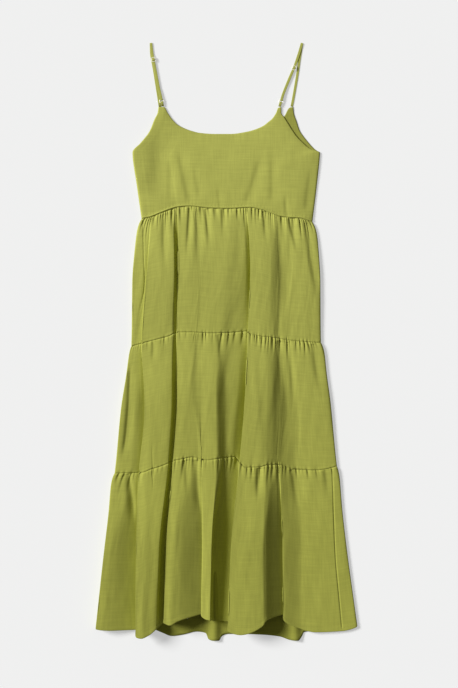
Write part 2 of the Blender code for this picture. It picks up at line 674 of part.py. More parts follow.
def make_ring(name, centre, angle, material, collection):
    """A small wire ring, lying level between strap and loop."""
    outline = rounded_rectangle(RING_HALF, RING_CORNER, 3)
    item = curve_object(name, [outline], material, collection, dimensions="3D",
                        bevel_depth=WIRE * MM, bevel_resolution=1)
    item.location = (centre[0] * MM, centre[1] * MM, WIRE_HEIGHT * MM)
    item.rotation_euler = (0.0, 0.0, angle)
    return item


def make_slider(name, centre, angle, material, collection):
    """A flat slider with two slots either side of its middle bar."""
    outline = rounded_rectangle(SLIDER_HALF, 1.0, 3)
    slot_height = (2 * SLIDER_HALF[1] - 3 * SLIDER_BAR) / 2
    slot_half = (STRAP_WIDTH / 2 + GAP, slot_height / 2)
    slots = []
    for way in (1, -1):
        middle = way * (SLIDER_BAR + slot_height) / 2
        slot = rounded_rectangle(slot_half, 0.3, 2)
        slots.append([(across, up + middle) for across, up in slot])
    item = curve_object(name, [outline, *slots], material, collection, dimensions="2D",
                        fill_mode="BOTH", extrude=SLIDER_THICK / 2 * MM)
    item.location = (centre[0] * MM, centre[1] * MM, SLIDER_HEIGHT * MM)
    item.rotation_euler = (0.0, 0.0, angle)
    return item


def main():
    """Builds the dress."""
    clear_scene()
    collection = bpy.data.collections.new("a_line_dress")
    bpy.context.scene.collection.children.link(collection)
    cloth = make_material("olive_cloth", OLIVE, 0.85)
    hard = make_material("cream_enamel", CREAM, 0.35)
    skirt = SkirtFront()
    make_front_tiers(skirt, cloth, collection)
    make_back_tiers(skirt, cloth, collection)
    make_bodice(skirt, cloth, collection)
    for side in STRAPS:
        make_strap(side, cloth, hard, collection)


main()
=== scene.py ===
"""A three-tier gathered midi dress on thin adjustable straps, laid flat on a pale floor.

Frame: metres, +X to the right across the dress, +Y from the hem to the straps, +Z up off the
surface.  Every table and size field is in millimetres unless it says otherwise.
"""
import logging
import math
from dataclasses import dataclass
from enum import Enum

import bmesh
import bpy
import numpy as np
from mathutils import Matrix, Vector


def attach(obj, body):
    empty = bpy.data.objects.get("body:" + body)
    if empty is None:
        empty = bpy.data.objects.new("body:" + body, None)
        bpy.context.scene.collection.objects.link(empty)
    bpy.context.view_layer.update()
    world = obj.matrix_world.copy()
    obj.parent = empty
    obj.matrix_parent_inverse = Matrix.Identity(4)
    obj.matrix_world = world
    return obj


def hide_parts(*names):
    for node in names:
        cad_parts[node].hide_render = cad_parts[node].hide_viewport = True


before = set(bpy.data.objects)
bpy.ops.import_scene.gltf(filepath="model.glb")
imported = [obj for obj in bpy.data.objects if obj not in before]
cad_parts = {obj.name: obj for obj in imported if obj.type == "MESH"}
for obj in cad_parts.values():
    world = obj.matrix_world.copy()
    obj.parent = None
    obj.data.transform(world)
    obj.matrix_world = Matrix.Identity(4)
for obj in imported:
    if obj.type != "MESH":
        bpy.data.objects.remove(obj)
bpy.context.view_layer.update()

Array = np.ndarray
Path = tuple[tuple[float, float], ...]
Colour = tuple[float, float, float, float]
Material = bpy.types.Material
Socket = bpy.types.NodeSocket
Tree = bpy.types.NodeTree

MM = 0.001
WALL = 0.9                # thickness of the cloth shells
BACK_TOP = 1.0            # upper face of a back panel where it lies flat
SIDE_HEIGHT = 2.2         # upper face of the front at its side edges
NECK_HEIGHT = 3.2         # upper face of the front along the neckline
GAP = 0.3                 # between the edges of two pieces at a seam
HEM_BAND = 8.0            # width of the turned hem
HEM_RISE = 0.35           # how far its doubled cloth stands up
HEM_STITCHES = 6.8        # from the hem's edge up to its stitching
STITCH_DIP = 0.3          # how far the stitching pulls the front's hem down
STRAP_WIDTH = 5.5
STRAP_WALL = 0.9

log = logging.getLogger("dress")


class Slot(Enum):
    """The record's material slots."""

    CLOTH = "cloth"
    STRAP = "strap_cloth"
    FITTING = "fitting"


class Side(Enum):
    """Left and right, as seen from above."""

    LEFT = "left"
    RIGHT = "right"


def table(kind: type, *rows: tuple) -> tuple:
    """Makes one record of a kind from each row."""
    return tuple(kind(*row) for row in rows)


@dataclass(frozen=True)
class FoldLine:
    """One long line down the front of the skirt.

    It has an x and a height at seven stations: the waist seam, the middle of tier 1, seam 1,
    the middle of tier 2, seam 2, the middle of tier 3 and the hem.
    """

    name: str
    across: tuple[float, ...]
    height: tuple[float, ...]
    hem: float                # its y at the hem


@dataclass(frozen=True)
class Crease:
    """A soft trough along a line on a piece of cloth.

    It has a width on either side of the line, and start and end are the shares of its length
    over which it fades in and out.
    """

    path: Path
    left: float
    right: float
    depth: float
    start: float
    end: float


@dataclass(frozen=True)
class CalmRun:
    """A run of one seam, from x to x, that keeps only a share of its small gathers' depth."""

    start: float
    end: float
    share: float


@dataclass(frozen=True)
class Gather:
    """One of a seam's deeper gathers: where it leaves the seam, and its depth, run and width."""

    place: float
    depth: float
    reach: float
    width: float


@dataclass(frozen=True)
class BackLift:
    """A low fold in which the back leaves the surface: its two ends, height and width."""

    high: tuple[float, float]
    low: tuple[float, float]
    height: float
    width: float


# Plan points of the front's seams, from left to right.
WAIST_SEAM = (
    (-177.5, 258), (-161, 261), (-140, 269), (-119, 277), (-102, 282), (-77, 284), (-35, 280),
    (7, 279), (49, 281), (74.5, 276.5), (91, 270.5), (112, 263), (133, 260), (154, 259),
    (179.5, 251.5),
)
SEAM_1 = (
    (-199, -9), (-161, 1.5), (-140, 7), (-119, 13), (-104, 20.5), (-77, 20.5), (-30, 18.5),
    (7, 19.5), (43, 22.5), (50, 17.5), (70, 12), (91, 10), (133, 3.5), (175, -0.5), (197.5, -1.5),
)
SEAM_2 = (
    (-233, -275.5), (-177.5, -273.5), (-156.5, -266), (-140, -261), (-123, -254.5),
    (-112, -248.5), (-98, -246), (-72, -241), (-41, -247), (-10, -243), (17, -241),
    (28.5, -252.5), (43, -262.5), (66, -262), (91, -257), (110, -257), (140, -266), (186, -269),
    (207, -267), (231, -261),
)
SEAMS = (WAIST_SEAM, SEAM_1, SEAM_2)
BACK_ARCH = (21.0, 18.0, 18.0)       # how far each seam of the back rises between its ends
BACK_INSET = 1.6                     # how far its sides stand inside the front's

# How the front's side edges turn down round the back's: steps out, and down.
SIDE_TURN = ((0.45, 0.2), (0.8, 0.7), (0.9, 1.3), (0.85, 1.9))

# Name, x at the seven stations, height there, and y at the hem.
FOLD_LINES = table(
    FoldLine,
    ("side_left", (-177.5, -196.5, -199, -220.5, -234, -256, -274),
     (2.2, 2.2, 2.2, 2.2, 2.2, 2.2, 2.2), -601),
    ("left_edge", (-176.9, -196.2, -198.7, -220.2, -233.7, -255.8, -273.8),
     (5.8, 10.6, 7.2, 14.2, 9.4, 20, 19.5), -602),
    ("left_ridge", (-172, -190, -194, -207, -223, -246, -262),
     (6.8, 10.8, 7.4, 14.2, 10.4, 20, 19), -604.5),
    ("left_slope", (-163, -178, -187, -194, -203, -232, -242),
     (7.4, 11, 7.6, 12.8, 10.4, 18.2, 16.4), -605.5),
    ("step_floor", (-158, -168, -177, -170.5, -181.5, -187.5, -188.5),
     (8, 10.2, 7.6, 5, 5.6, 4.6, 4.6), -604.5),
    ("step_lip", (-155.5, -168, -177, -171.6, -183.4, -189.3, -190.3),
     (8.1, 18.5, 14.7, 22.3, 18.4, 30.6, 32.9), -615),
    ("step_crest", (-152, -166, -174.5, -169.6, -181, -187.2, -188.2),
     (8.3, 18.4, 14.6, 22.2, 18.6, 30.5, 32.8), -618.5),
    ("tube_1", (-138, -146, -151, -155, -163, -174, -178),
     (8.8, 18.6, 15, 22.4, 20.4, 30.5, 33), -620.5),
    ("a_shoulder", (-125, -127, -130, -133, -140, -158, -162),
     (8.8, 18.5, 14.6, 22, 20, 28.8, 30.5), -614),
    ("a_edge", (-113, -110, -114.5, -115, -123, -141, -147),
     (8.6, 17.2, 13.6, 20.2, 18.2, 27, 27), -602),
    ("a_drop", (-108, -105.4, -108.5, -109.2, -116.4, -133.5, -139.5),
     (8.5, 6.4, 9.8, 6.4, 6.2, 8, 8), -596),
    ("a_floor", (-103.5, -98.4, -101.8, -100.6, -109, -123, -129),
     (8.4, 3, 3.6, 3, 3.4, 3.8, 4.2), -587),
    ("a_lip", (-102.7, -100.9, -104.4, -103.2, -111.8, -125.3, -131.2),
     (8.6, 21.1, 15.6, 31.1, 25.7, 37.1, 36.1), -587.5),
    ("a_crest", (-100.5, -98.6, -102, -100.9, -109.5, -123.3, -128.5),
     (8.8, 21, 15.6, 31, 25.6, 37, 36), -589),
    ("tube_2_left", (-84, -80, -84, -90, -98, -110, -118),
     (8.9, 20.9, 16, 31, 26, 37.6, 37), -592.5),
    ("tube_2_edge", (-72, -60, -68, -80, -82, -97, -101),
     (8.9, 20, 15.6, 30.8, 25.4, 35.8, 35), -584),
    ("tube_2_dip", (-62, -47, -58, -59, -52.5, -48.6, -52),
     (8.9, 19, 15, 28.4, 23.8, 20, 20.6), -570),
    ("tube_2_lip", (-54, -40, -51, -51, -53.5, -51.4, -53.2),
     (8.9, 18.8, 14.9, 27.8, 23.9, 27.6, 22.3), -573),
    ("tube_2_right", (-34, -20, -38, -39, -44, -42, -44),
     (8.9, 18.3, 14.8, 27.8, 24.3, 30, 24.5), -581),
    ("b_shoulder", (-5, 0, -16, -23, -22, -31, -35),
     (8.9, 17.5, 14, 27.2, 24.6, 31, 26), -583),
    ("b_slope", (20, 26, 8, -1, -2, -27.5, -29),
     (8.8, 14, 10, 16.4, 13.6, 8, 9), -584.5),
    ("b_edge", (35, 40, 33, 22, 12, -5, -14),
     (8.6, 11.5, 6, 12.6, 10, 3.4, 3.6), -586),
    ("b_floor", (42, 51.5, 46.4, 39.4, 28.6, 12.6, 5),
     (8.5, 3.8, 3.2, 2.8, 2.8, 2.8, 3.2), -588.5),
    ("b_lip", (43.6, 49.6, 44.6, 38.4, 27, 9.8, 2.6),
     (8.6, 20.4, 15.8, 30.1, 26.1, 38.1, 37.6), -602),
    ("b_crest", (46, 51.5, 46.4, 41, 29.4, 12, 4.6),
     (8.8, 20.3, 15.8, 30, 26, 38, 37.5), -605),
    ("tube_3", (64, 66, 64, 58, 50, 36, 30),
     (8.8, 20.3, 16, 29.6, 25.6, 38, 37.6), -612.5),
    ("c_shoulder", (90, 92, 88, 84, 82, 75, 76),
     (8.7, 19, 15, 27.2, 23.8, 36, 35.4), -594),
    ("c_edge", (98, 100, 97, 95, 91, 81.5, 82.5),
     (8.6, 17, 13.6, 24.4, 21.4, 33.5, 33), -584),
    ("c_under", (103, 107, 104, 106.5, 101, 94, 95),
     (8.5, 14.5, 11.6, 19, 17.8, 24, 23.5), -578),
    ("c_floor", (108, 114, 111, 118, 110.5, 118, 119.5),
     (8.4, 12, 10, 14.8, 14.6, 9, 9), -572),
    ("c_lip", (114, 121, 117, 123.5, 112.5, 117.2, 118.7),
     (8.3, 11.4, 9.9, 12.6, 14, 16.1, 14.9), -580),
    ("c_crest", (120, 127, 122, 128.5, 116, 119.3, 121),
     (8.2, 10.8, 9.6, 11.2, 13, 16, 14.8), -585),
    ("right_dip", (133, 141, 137, 142, 147, 158, 158),
     (7.9, 10.4, 9, 9.4, 6.8, 7.8, 8), -603),
    ("right_lip", (141, 149, 145, 148, 153, 164, 166),
     (7.7, 10.4, 9, 9.2, 6.6, 7.8, 8), -606),
    ("right_ridge", (151, 161, 156, 156, 166, 180, 186),
     (7, 10.2, 8.8, 9.4, 7, 7.6, 7.8), -609.5),
    ("right_slope", (168, 182, 183, 200, 212, 230, 245),
     (5.8, 9, 7.2, 8.2, 6.4, 6.2, 6.2), -607),
    ("right_edge", (179.2, 195.2, 197.2, 217.2, 230.7, 250.7, 273.7),
     (3.4, 6.2, 5, 5.2, 4.8, 4.8, 4.6), -598),
    ("side_right", (179.5, 195.5, 197.5, 217.5, 231, 251, 274),
     (2.2, 2.2, 2.2, 2.2, 2.2, 2.2, 2.2), -597),
)

# How far the sides swell outwards below each seam, left and right.
FLARES = ((-5.5, 6.0), (-4.0, 6.0), (-5.0, 3.4))
FLARE_RUN = 28.0          # how far below the seam they swell most
FLARE_WIDTH = 50.0        # how far in from the side they reach

# By piece: line, width to its left and right, depth, and the shares of its fades.
CREASES = {
    "bodice_front": table(
        Crease,
        # Faint troughs that run down to the waist.
        (((-128, 470), (-136, 430), (-143, 395), (-146, 290)), 20, 30, 3.3, 0.45, 0.25),
        (((-117, 400), (-118, 285)), 6, 11.9, 1, 0.5, 0.3),
        (((-104, 420), (-88, 350), (-74, 286)), 7.5, 15, 1.6, 0.35, 0.15),
        (((-69, 380), (-53, 292)), 6, 11.9, 1, 0.5, 0.3),
        (((76, 395), (58, 335), (42, 286)), 7.5, 15, 1.6, 0.35, 0.15),
        (((98, 425), (96, 285)), 6.8, 13.6, 1.2, 0.5, 0.2),
        (((180, 380), (167, 268)), 6.8, 13.6, 1.4, 0.5, 0.2),
        (((122, 312), (126, 264)), 2.5, 5.1, 0.9, 0.5, 0),
        (((-18, 330), (-14, 284)), 3.4, 6.8, 0.6, 0.5, 0),
    ),
    "tier_1_front": table(
        Crease,
        # Long gathers that leave the waist seam.
        (((-131, 270), (-130, 171), (-128, 138)), 5.1, 10.2, 2, 0.03, 0.6),
        (((-77, 283), (-81, 214), (-86, 168)), 3.4, 6.8, 2.4, 0.03, 0.7),
        (((-63, 282), (-61, 240), (-60, 150)), 5.1, 10.2, 2, 0.1, 0.6),
        (((-43, 280), (-39, 235), (-36, 190)), 3.4, 6.8, 2.6, 0.03, 0.7),
        (((-8, 279), (-7, 214)), 3.4, 6.8, 1.9, 0.03, 0.8),
        (((62, 279), (62, 240)), 3, 6, 1.6, 0.03, 0.8),
        (((79, 275), (83, 210)), 3.8, 7.6, 2.4, 0.03, 0.7),
        (((106, 266), (114, 214), (119, 150), (122, 46)), 6.8, 13.6, 1, 0.03, 0.5),
        (((132, 260), (143, 214), (153, 180)), 4.2, 8.5, 2.4, 0.03, 0.6),
        (((165, 257), (171, 235), (175, 193), (184, 140), (192, 109), (198, 80)),
         6, 11.9, 2.2, 0.08, 0.4),
        # The side seam, rolled a little to the front.
        (((-175, 256), (-173.5, 172), (-171, 119), (-177, 88), (-188, 46)), 0.9, 1.3, 1, 0, 0.2),
    ),
    "tier_2_front": table(
        Crease,
        # Gathers that leave seam 1, and hollows beside the folds.
        (((-201, -40), (-202, -82), (-211, -206), (-219, -245)), 5, 13, 3, 0.2, 0.15),
        (((-60, 18), (-60, -206)), 8, 18, 0.7, 0.05, 0.6),
        (((110, 4), (114, -60), (115, -140)), 7, 12, 1.8, 0.04, 0.6),
        (((131, 3), (137, -60), (143, -125)), 6, 6, 1.3, 0.04, 0.6),
        (((181, -2), (190, -59), (201, -125)), 6, 11.9, 1.8, 0.04, 0.6),
        (((-16, 17), (-9, -60)), 4.2, 8.5, 1.6, 0.04, 0.7),
        (((-153, 2), (-154, -50)), 3.4, 6.8, 1.2, 0.04, 0.7),
        # The side seam, rolled a little to the front.
        (((-156.5, -206), (-154.5, -266)), 0.9, 1.2, 0.6, 0.5, 0),
    ),
    "tier_3_front": table(
        Crease,
        # Gathers that leave seam 2, and hollows beside the folds.
        (((-206, -275), (-200, -310), (-196, -345), (-195, -390)), 9, 5, 3.2, 0.03, 0.5),
        (((-62, -246), (-60, -301), (-57, -340), (-55, -370)), 9, 4, 2.4, 0.03, 0.4),
        (((-85, -246), (-81, -330)), 4.2, 8.5, 1.6, 0.03, 0.6),
        (((67, -263), (66, -335)), 4.7, 9.3, 3.2, 0.03, 0.6),
        (((138, -266), (145, -310), (149, -360)), 6, 18, 2.2, 0.03, 0.6),
        (((208, -268), (216, -335)), 6.8, 13.6, 2, 0.03, 0.7),
        # The side seams, rolled a little to the front.
        (((221.5, -266), (223.5, -311), (224.5, -353), (227, -416), (229, -458), (236, -532),
          (242.5, -603)),
         1, 1.3, 1.2, 0, 0.02),
        (((-156.5, -267), (-152, -311)), 0.9, 1.2, 0.7, 0, 0.5),
    ),
}

# Where the small gathers along a seam are pressed flatter.  The waist seam is seam 1.
CALM = {
    2: table(CalmRun, (-199, -104, 0.4), (-104, 43, 0.45), (150, 198, 0.7)),
    3: table(CalmRun, (-177, -112, 0.5), (-45, 28, 0.6), (150, 231, 0.55)),
}

# By seam: x, depth, reach, width.
GATHERS = {
    1: table(
        Gather,
        (-171, 1.6, 30, 2.4), (-150, 1.7, 26, 2), (-114, 2.2, 60, 2.6), (-94, 1.5, 34, 2.2),
        (-54, 1.8, 40, 2.4), (-25, 1.6, 32, 2.2), (5, 1.3, 24, 2), (23, 1.5, 30, 2.4),
        (53, 1.7, 36, 2), (68, 1.6, 30, 2), (93, 2, 48, 2.4), (116, 1.9, 42, 2.2),
        (140, 1.7, 36, 2.2), (152, 1.5, 30, 2),
    ),
    2: table(
        Gather,
        (-165, 1.3, 24, 2.2), (-130, 1.1, 22, 2.2), (-49, 1.7, 34, 2), (-43, 1.5, 26, 1.8),
        (-9.5, 1.9, 46, 2.4), (5, 1.7, 34, 2), (18, 1.8, 30, 2), (34, 1.9, 36, 2.2),
        (64, 1.6, 26, 2), (74.5, 1.8, 34, 2.2), (95.5, 1.9, 40, 2.2), (112, 1.8, 36, 2),
        (127, 2.1, 44, 2.2), (146, 1.6, 30, 2), (154, 1.5, 26, 1.8), (163, 1.5, 24, 1.8),
        (171, 1.6, 28, 2),
    ),
    3: table(
        Gather,
        (-224, 1.5, 26, 2), (-198, 2.2, 46, 2.4), (-182, 1.9, 36, 2), (-152, 1.3, 22, 2),
        (-89, 2.1, 50, 2.4), (-82, 1.7, 34, 2), (-69, 2, 40, 2.2), (-17, 1.9, 40, 2),
        (-7, 1.9, 44, 2), (3, 1.8, 36, 1.9), (12, 1.8, 40, 2), (20, 1.9, 38, 1.9),
        (53.5, 1.7, 32, 2), (71, 1.8, 36, 2), (88, 2.1, 50, 2.4), (97, 2, 40, 2),
        (107, 2.2, 46, 2.2), (125, 1.7, 30, 2), (170, 1.5, 24, 2), (188, 1.3, 22, 2),
    ),
}

# By panel: high end, low end, height, width.
BACK_LIFTS = {
    "tier_3_back": table(
        BackLift,
        ((-30, -420), (-24, -628), 6.5, 11), ((132, -450), (146, -628), 6, 12),
        ((-112, -520), (-112, -620), 2, 22), ((-180, -300), (-196, -560), 1.8, 8),
        ((-84, -280), (-70, -470), 2.2, 9), ((60, -290), (52, -600), 2.6, 12),
        ((186, -290), (208, -520), 1.6, 8),
    ),
    "tier_2_back": table(
        BackLift,
        ((-150, -10), (-160, -230), 1.8, 9), ((-64, 20), (-70, -220), 2.2, 11),
        ((0, 20), (8, -180), 1.6, 8), ((64, 10), (58, -230), 2.2, 10),
        ((150, 0), (160, -200), 1.4, 8),
    ),
    "tier_1_back": table(
        BackLift,
        ((-128, 250), (-140, 40), 1.8, 9), ((-60, 270), (-56, 60), 2, 10),
        ((4, 270), (0, 90), 1.6, 8), ((74, 270), (70, 40), 1.8, 9),
        ((140, 250), (150, 70), 1.5, 9),
    ),
    "bodice_back": table(
        BackLift,
        ((-110, 400), (-90, 290), 1, 12), ((20, 390), (10, 300), 0.8, 14),
        ((110, 400), (96, 290), 1, 12),
    ),
}
OPEN_LIFT = 5.0           # lifts at least this high run on through the panel's low edge

# Plan points of the back's hem and of both necklines, from left to right, and of the side edges,
# from the neckline down.
BACK_HEM = (
    (-273, -600), (-213, -602), (-161, -602), (-135.5, -610.5), (-114.5, -618), (-89, -614.5),
    (-62, -608.5), (-44, -611.5), (-37, -625), (-28.5, -627.4), (-16, -627.4), (-9.5, -618),
    (3, -613.5), (28.5, -613.5), (74.5, -615), (112.5, -619), (133.5, -626), (150, -627.4),
    (158.5, -618), (163, -609.5), (196, -606.5), (273, -596),
)
FRONT_NECK = (
    (-142, 493), (-131.5, 493), (-123, 480.5), (-114.5, 468), (-102, 455.5), (-89, 448.5),
    (-72.5, 442.5), (-55.5, 438.5), (-24, 436.3), (7.5, 436.3), (45, 441.5), (66, 448),
    (79, 454.5), (87, 461), (95.5, 468), (104, 480.5), (109, 491.5), (114.5, 492.5),
)
FRONT_LEFT_EDGE = (
    (-142, 493), (-143.8, 480.5), (-150, 468), (-160.5, 442.5), (-179.5, 417.5), (-196.5, 397.5),
    (-187, 325), (-177.5, 258),
)
FRONT_RIGHT_EDGE = (
    (114.5, 492.5), (114.5, 480.5), (121, 471), (133.5, 451), (148, 430), (160.5, 417.5),
    (175.5, 405), (195.5, 397), (188.5, 325), (179.5, 251.5),
)
BACK_NECK = (
    (-141.5, 491), (-136.5, 491), (-125, 470), (-110, 451), (-89, 436.5), (-55.5, 429),
    (7.5, 428), (60, 434), (87, 444.5), (106, 457.5), (121, 473), (133.5, 492), (140.5, 493),
)
BACK_LEFT_EDGE = (
    (-141.5, 491), (-142, 480.5), (-148, 468), (-158.5, 442.5), (-177.5, 417.5), (-194.5, 397),
    (-185.5, 325), (-176, 258),
)
BACK_RIGHT_EDGE = (
    (140.5, 493), (141.8, 480.5), (148, 461.5), (154.5, 442.5), (163, 430), (173, 417.5),
    (184.5, 405), (193.5, 397), (187, 325), (178, 251.5),
)


# ---------------------------------------------------------------- numbers and lines

def monotone(knots: Array, values: Array, places: Array) -> Array:
    """Reads a smooth line through a table, without overshoot.

    Args:
        knots: Where the table's rows lie.
        values: One number or one row of numbers for each knot.
        places: Where to read.

    Returns:
        The values at the places.
    """
    knots, values, places = (np.asarray(part, float) for part in (knots, values, places))
    column = (-1,) + (1,) * (values.ndim - 1)
    steps = np.diff(knots)
    wide = steps.reshape(column)
    slopes = np.diff(values, axis=0) / wide
    before, after = slopes[:-1], slopes[1:]
    same_way = before * after > 0
    heavy, light = 2 * wide[1:] + wide[:-1], wide[1:] + 2 * wide[:-1]
    safe_before = np.where(same_way, before, 1.0)
    safe_after = np.where(same_way, after, 1.0)
    mean = (heavy + light) / (heavy / safe_before + light / safe_after)
    tangents = np.concatenate((slopes[:1], np.where(same_way, mean, 0.0), slopes[-1:]))
    index = np.clip(np.searchsorted(knots, places, side="right") - 1, 0, len(knots) - 2)
    step = steps[index].reshape(column)
    share = (places - knots[index]).reshape(column) / step
    return (
        (1 + 2 * share) * (1 - share) ** 2 * values[index]
        + share * (1 - share) ** 2 * step * tangents[index]
        + share ** 2 * (3 - 2 * share) * values[index + 1]
        + share ** 2 * (share - 1) * step * tangents[index + 1]
    )


def distances(points: Array) -> Array:
    """How far along a line of points each of them lies."""
    steps = np.linalg.norm(np.diff(points, axis=0), axis=1)
    return np.concatenate(([0.0], np.cumsum(steps)))


def along(points: Array, shares: Array) -> Array:
    """Reads points at shares of the length of a smooth line through the given ones."""
    reach = distances(points)
    return monotone(reach / reach[-1], points, shares)


def unit(way: Array) -> Array:
    """The same way, one unit long."""
    return way / np.linalg.norm(way)


def seam_y(seam: Path, across: Array) -> Array:
    """Reads the y of a seam at the given x values."""
    x, y = np.transpose(seam)
    return monotone(x, y, np.clip(across, x[0], x[-1]))


def ramp(values: Array, low: float, high: float) -> Array:
    """Rises smoothly from 0 at low to 1 at high."""
    share = np.clip((values - low) / (high - low), 0.0, 1.0)
    return share * share * (3 - 2 * share)


def bell(distance: Array, width: Array | float) -> Array:
    """A soft hump of height 1 and the given half width."""
    return np.exp(-((distance / width) ** 2))


def wavering(across: Array, turn: float, sway: float, slow: float) -> Array:
    """Uneven waves from 0 to 1, for the cloth between stitches.

    Args:
        across: The x values.
        turn: How fast the waves follow one another, in radians for each millimetre.
        sway: How many radians they run ahead and behind.
        slow: How fast that changes.

    Returns:
        One number for each x.
    """
    return 0.5 + 0.5 * np.sin(across * turn + sway * np.sin(across * slow))


def hem_rise(above: Array, blur: float) -> Array:
    """How far the hem's doubled cloth stands up, by the distance above its edge."""
    return HEM_RISE * (1 - ramp(above, HEM_BAND - blur, HEM_BAND + blur))


def above_low_edge(points: Array) -> Array:
    """How far each point of a panel lies above its low edge, along y."""
    return points[..., 1] - points[:1, :, 1]


def below_top_edge(points: Array) -> Array:
    """How far each point of a panel lies below its top edge, along y."""
    return points[-1:, :, 1] - points[..., 1]


def graded(length: float, first: float, growth: tuple[float, float], widest: float) -> Array:
    """Places from 0 to 1, close together at both ends of a length.

    Args:
        length: The whole length.
        first: The first step at either end.
        growth: How many times longer each step is than the one before it, from the start
            and from the end.
        widest: The longest step.

    Returns:
        Shares from 0 to 1.
    """
    ends = []
    for rate in growth:
        stops, step = [0.0], first
        while step < widest and stops[-1] + step < length / 2:
            stops.append(stops[-1] + step)
            step *= rate
        ends.append(np.array(stops))
    near, far = ends[0], length - ends[1][::-1]
    count = max(math.ceil((far[0] - near[-1]) / widest), 1)
    middle = np.linspace(near[-1], far[0], count + 1)[1:-1]
    return np.concatenate((near, middle, far)) / length


def line_distance(points: Array, path: Path) -> tuple[Array, Array, Array]:
    """Measures plan points against a line.

    Args:
        points: Plan points, in an array whose last axis is x and y.
        path: Points that a smooth line runs through.

    Returns:
        The distance of each point, its sign (above 0 on the right of a line that runs down
        the dress), and its share of the line's length.
    """
    knots = along(path, np.linspace(0.0, 1.0, 8 if len(path) > 2 else 2))
    before = distances(knots)
    best = np.full(points.shape[:-1], np.inf)
    sign = np.ones(points.shape[:-1])
    share = np.zeros(points.shape[:-1])
    for start, end, length, run in zip(knots, knots[1:], np.diff(before), before):
        way = (end - start) / length
        away = points - start
        part = np.clip(away @ way, 0.0, length)
        distance = np.linalg.norm(away - part[..., None] * way, axis=-1)
        near = distance < best
        turn = way[0] * away[..., 1] - way[1] * away[..., 0]
        best = np.where(near, distance, best)
        sign = np.where(near, np.where(turn > 0, 1.0, -1.0), sign)
        share = np.where(near, (run + part) / before[-1], share)
    return best, sign, share


def crease_depths(plan: Array, piece: str) -> Array:
    """Adds up how deep the creases of a piece are.

    Args:
        plan: Rows by columns by two.
        piece: The piece.

    Returns:
        Rows by columns.
    """
    total = np.zeros(plan.shape[:2])
    for crease in CREASES[piece]:
        distance, sign, share = line_distance(plan, crease.path)
        width = np.where(sign > 0, crease.right, crease.left)
        fade = ramp(share, -1e-6, max(crease.start, 1e-3))
        if crease.end > 0:
            fade = fade * (1 - ramp(share, 1 - crease.end, 1.0))
        total += crease.depth * fade * bell(distance, width)
    return total


def ripple(cloth: Array, seed: int, wide: float, tall: float) -> Array:
    """Small uneven waves over cloth places, between -1 and 1.

    Args:
        cloth: Places on the cloth, across and along.
        seed: Picks the pattern.
        wide: The usual length of a wave across.
        tall: The usual length of a wave along.

    Returns:
        One number for each place.
    """
    draw = np.random.default_rng(seed)
    total = np.zeros(cloth.shape[:2])
    waves = 7
    for _ in range(waves):
        turn_x = 2 * np.pi / (wide * draw.uniform(0.6, 1.7))
        turn_y = 2 * np.pi / (tall * draw.uniform(0.6, 1.7)) * draw.choice((-1.0, 1.0))
        phase = draw.uniform(0, 2 * np.pi)
        total += np.sin(cloth[..., 0] * turn_x + cloth[..., 1] * turn_y + phase)
    return total / waves ** 0.5 / 1.6


def cell_normals(points: Array) -> Array:
    """Upward normals of a grid, each as long as the area round its point."""
    return np.cross(np.gradient(points, axis=1), np.gradient(points, axis=0))


def upward_normals(points: Array) -> Array:
    """Unit normals of a grid, evened a little across.

    Args:
        points: Its points, with rows that run up the dress and columns that run to the right.

    Returns:
        Rows by columns by three.
    """
    normal = cell_normals(points)
    normal /= np.maximum(np.linalg.norm(normal, axis=2, keepdims=True), 1e-9)
    normal[:, 1:-1] = (normal[:, :-2] + 2 * normal[:, 1:-1] + normal[:, 2:]) / 4
    return normal / np.linalg.norm(normal, axis=2, keepdims=True)


def grid_area(points: Array) -> float:
    """Measures a grid's area.

    Args:
        points: Its points.

    Returns:
        Square metres, to the nearest ten square centimetres.
    """
    cells = np.linalg.norm(cell_normals(points), axis=2)
    cells[[0, -1]] /= 2
    cells[:, [0, -1]] /= 2
    return round(float(cells.sum()) * MM * MM, 3)


def line_above(points: Array, rise: float) -> Array:
    """Reads the line that runs a given way above a panel's low edge.

    Args:
        points: The panel's points.
        rise: How far above the low edge, along y.

    Returns:
        One point for each of the panel's columns.
    """
    above = above_low_edge(points)
    return np.array([[np.interp(rise, above[:, column], points[:, column, axis])
                      for axis in range(3)] for column in range(points.shape[1])])


def coons(left: Array, right: Array, top: Array, low: Array, up: Array, over: Array) -> Array:
    """Plan points of a panel between its four edge lines.

    Args:
        left: Points of the left edge, from the low edge up.
        right: Points of the right edge, from the low edge up.
        top: Points of the top edge, from left to right.
        low: Points of the low edge, from left to right.
        up: The rows' shares of the way up.
        over: The columns' shares of the way across.

    Returns:
        Rows by columns by two.
    """
    left, right = np.array(left), np.array(right)
    left[0], left[-1], right[0], right[-1] = low[0], top[0], low[-1], top[-1]
    rise, side = up[:, None, None], over[None, :, None]
    ruled_up = rise * top[None] + (1 - rise) * low[None]
    ruled_over = (1 - side) * left[:, None] + side * right[:, None]
    corners = (
        (1 - side) * rise * top[0] + side * rise * top[-1]
        + (1 - side) * (1 - rise) * low[0] + side * (1 - rise) * low[-1]
    )
    return ruled_up + ruled_over - corners


def wrap_sides(*grids: Array) -> list[Array]:
    """Adds columns that turn a panel's side edges down round the back's.

    Args:
        *grids: Its points, and their places on the cloth.

    Returns:
        Both, wider at each side by the steps of SIDE_TURN.
    """
    out, drop = np.transpose(SIDE_TURN)
    level = np.zeros(len(out))
    steps = (np.column_stack((out, level, -drop)), np.column_stack((out + drop, level)))
    wider = []
    for grid, right in zip(grids, steps):
        left = right[::-1].copy()
        left[:, 0] *= -1
        wider.append(np.hstack((grid[:, :1] + left, grid, grid[:, -1:] + right)))
    return wider


# ---------------------------------------------------------------- finishes

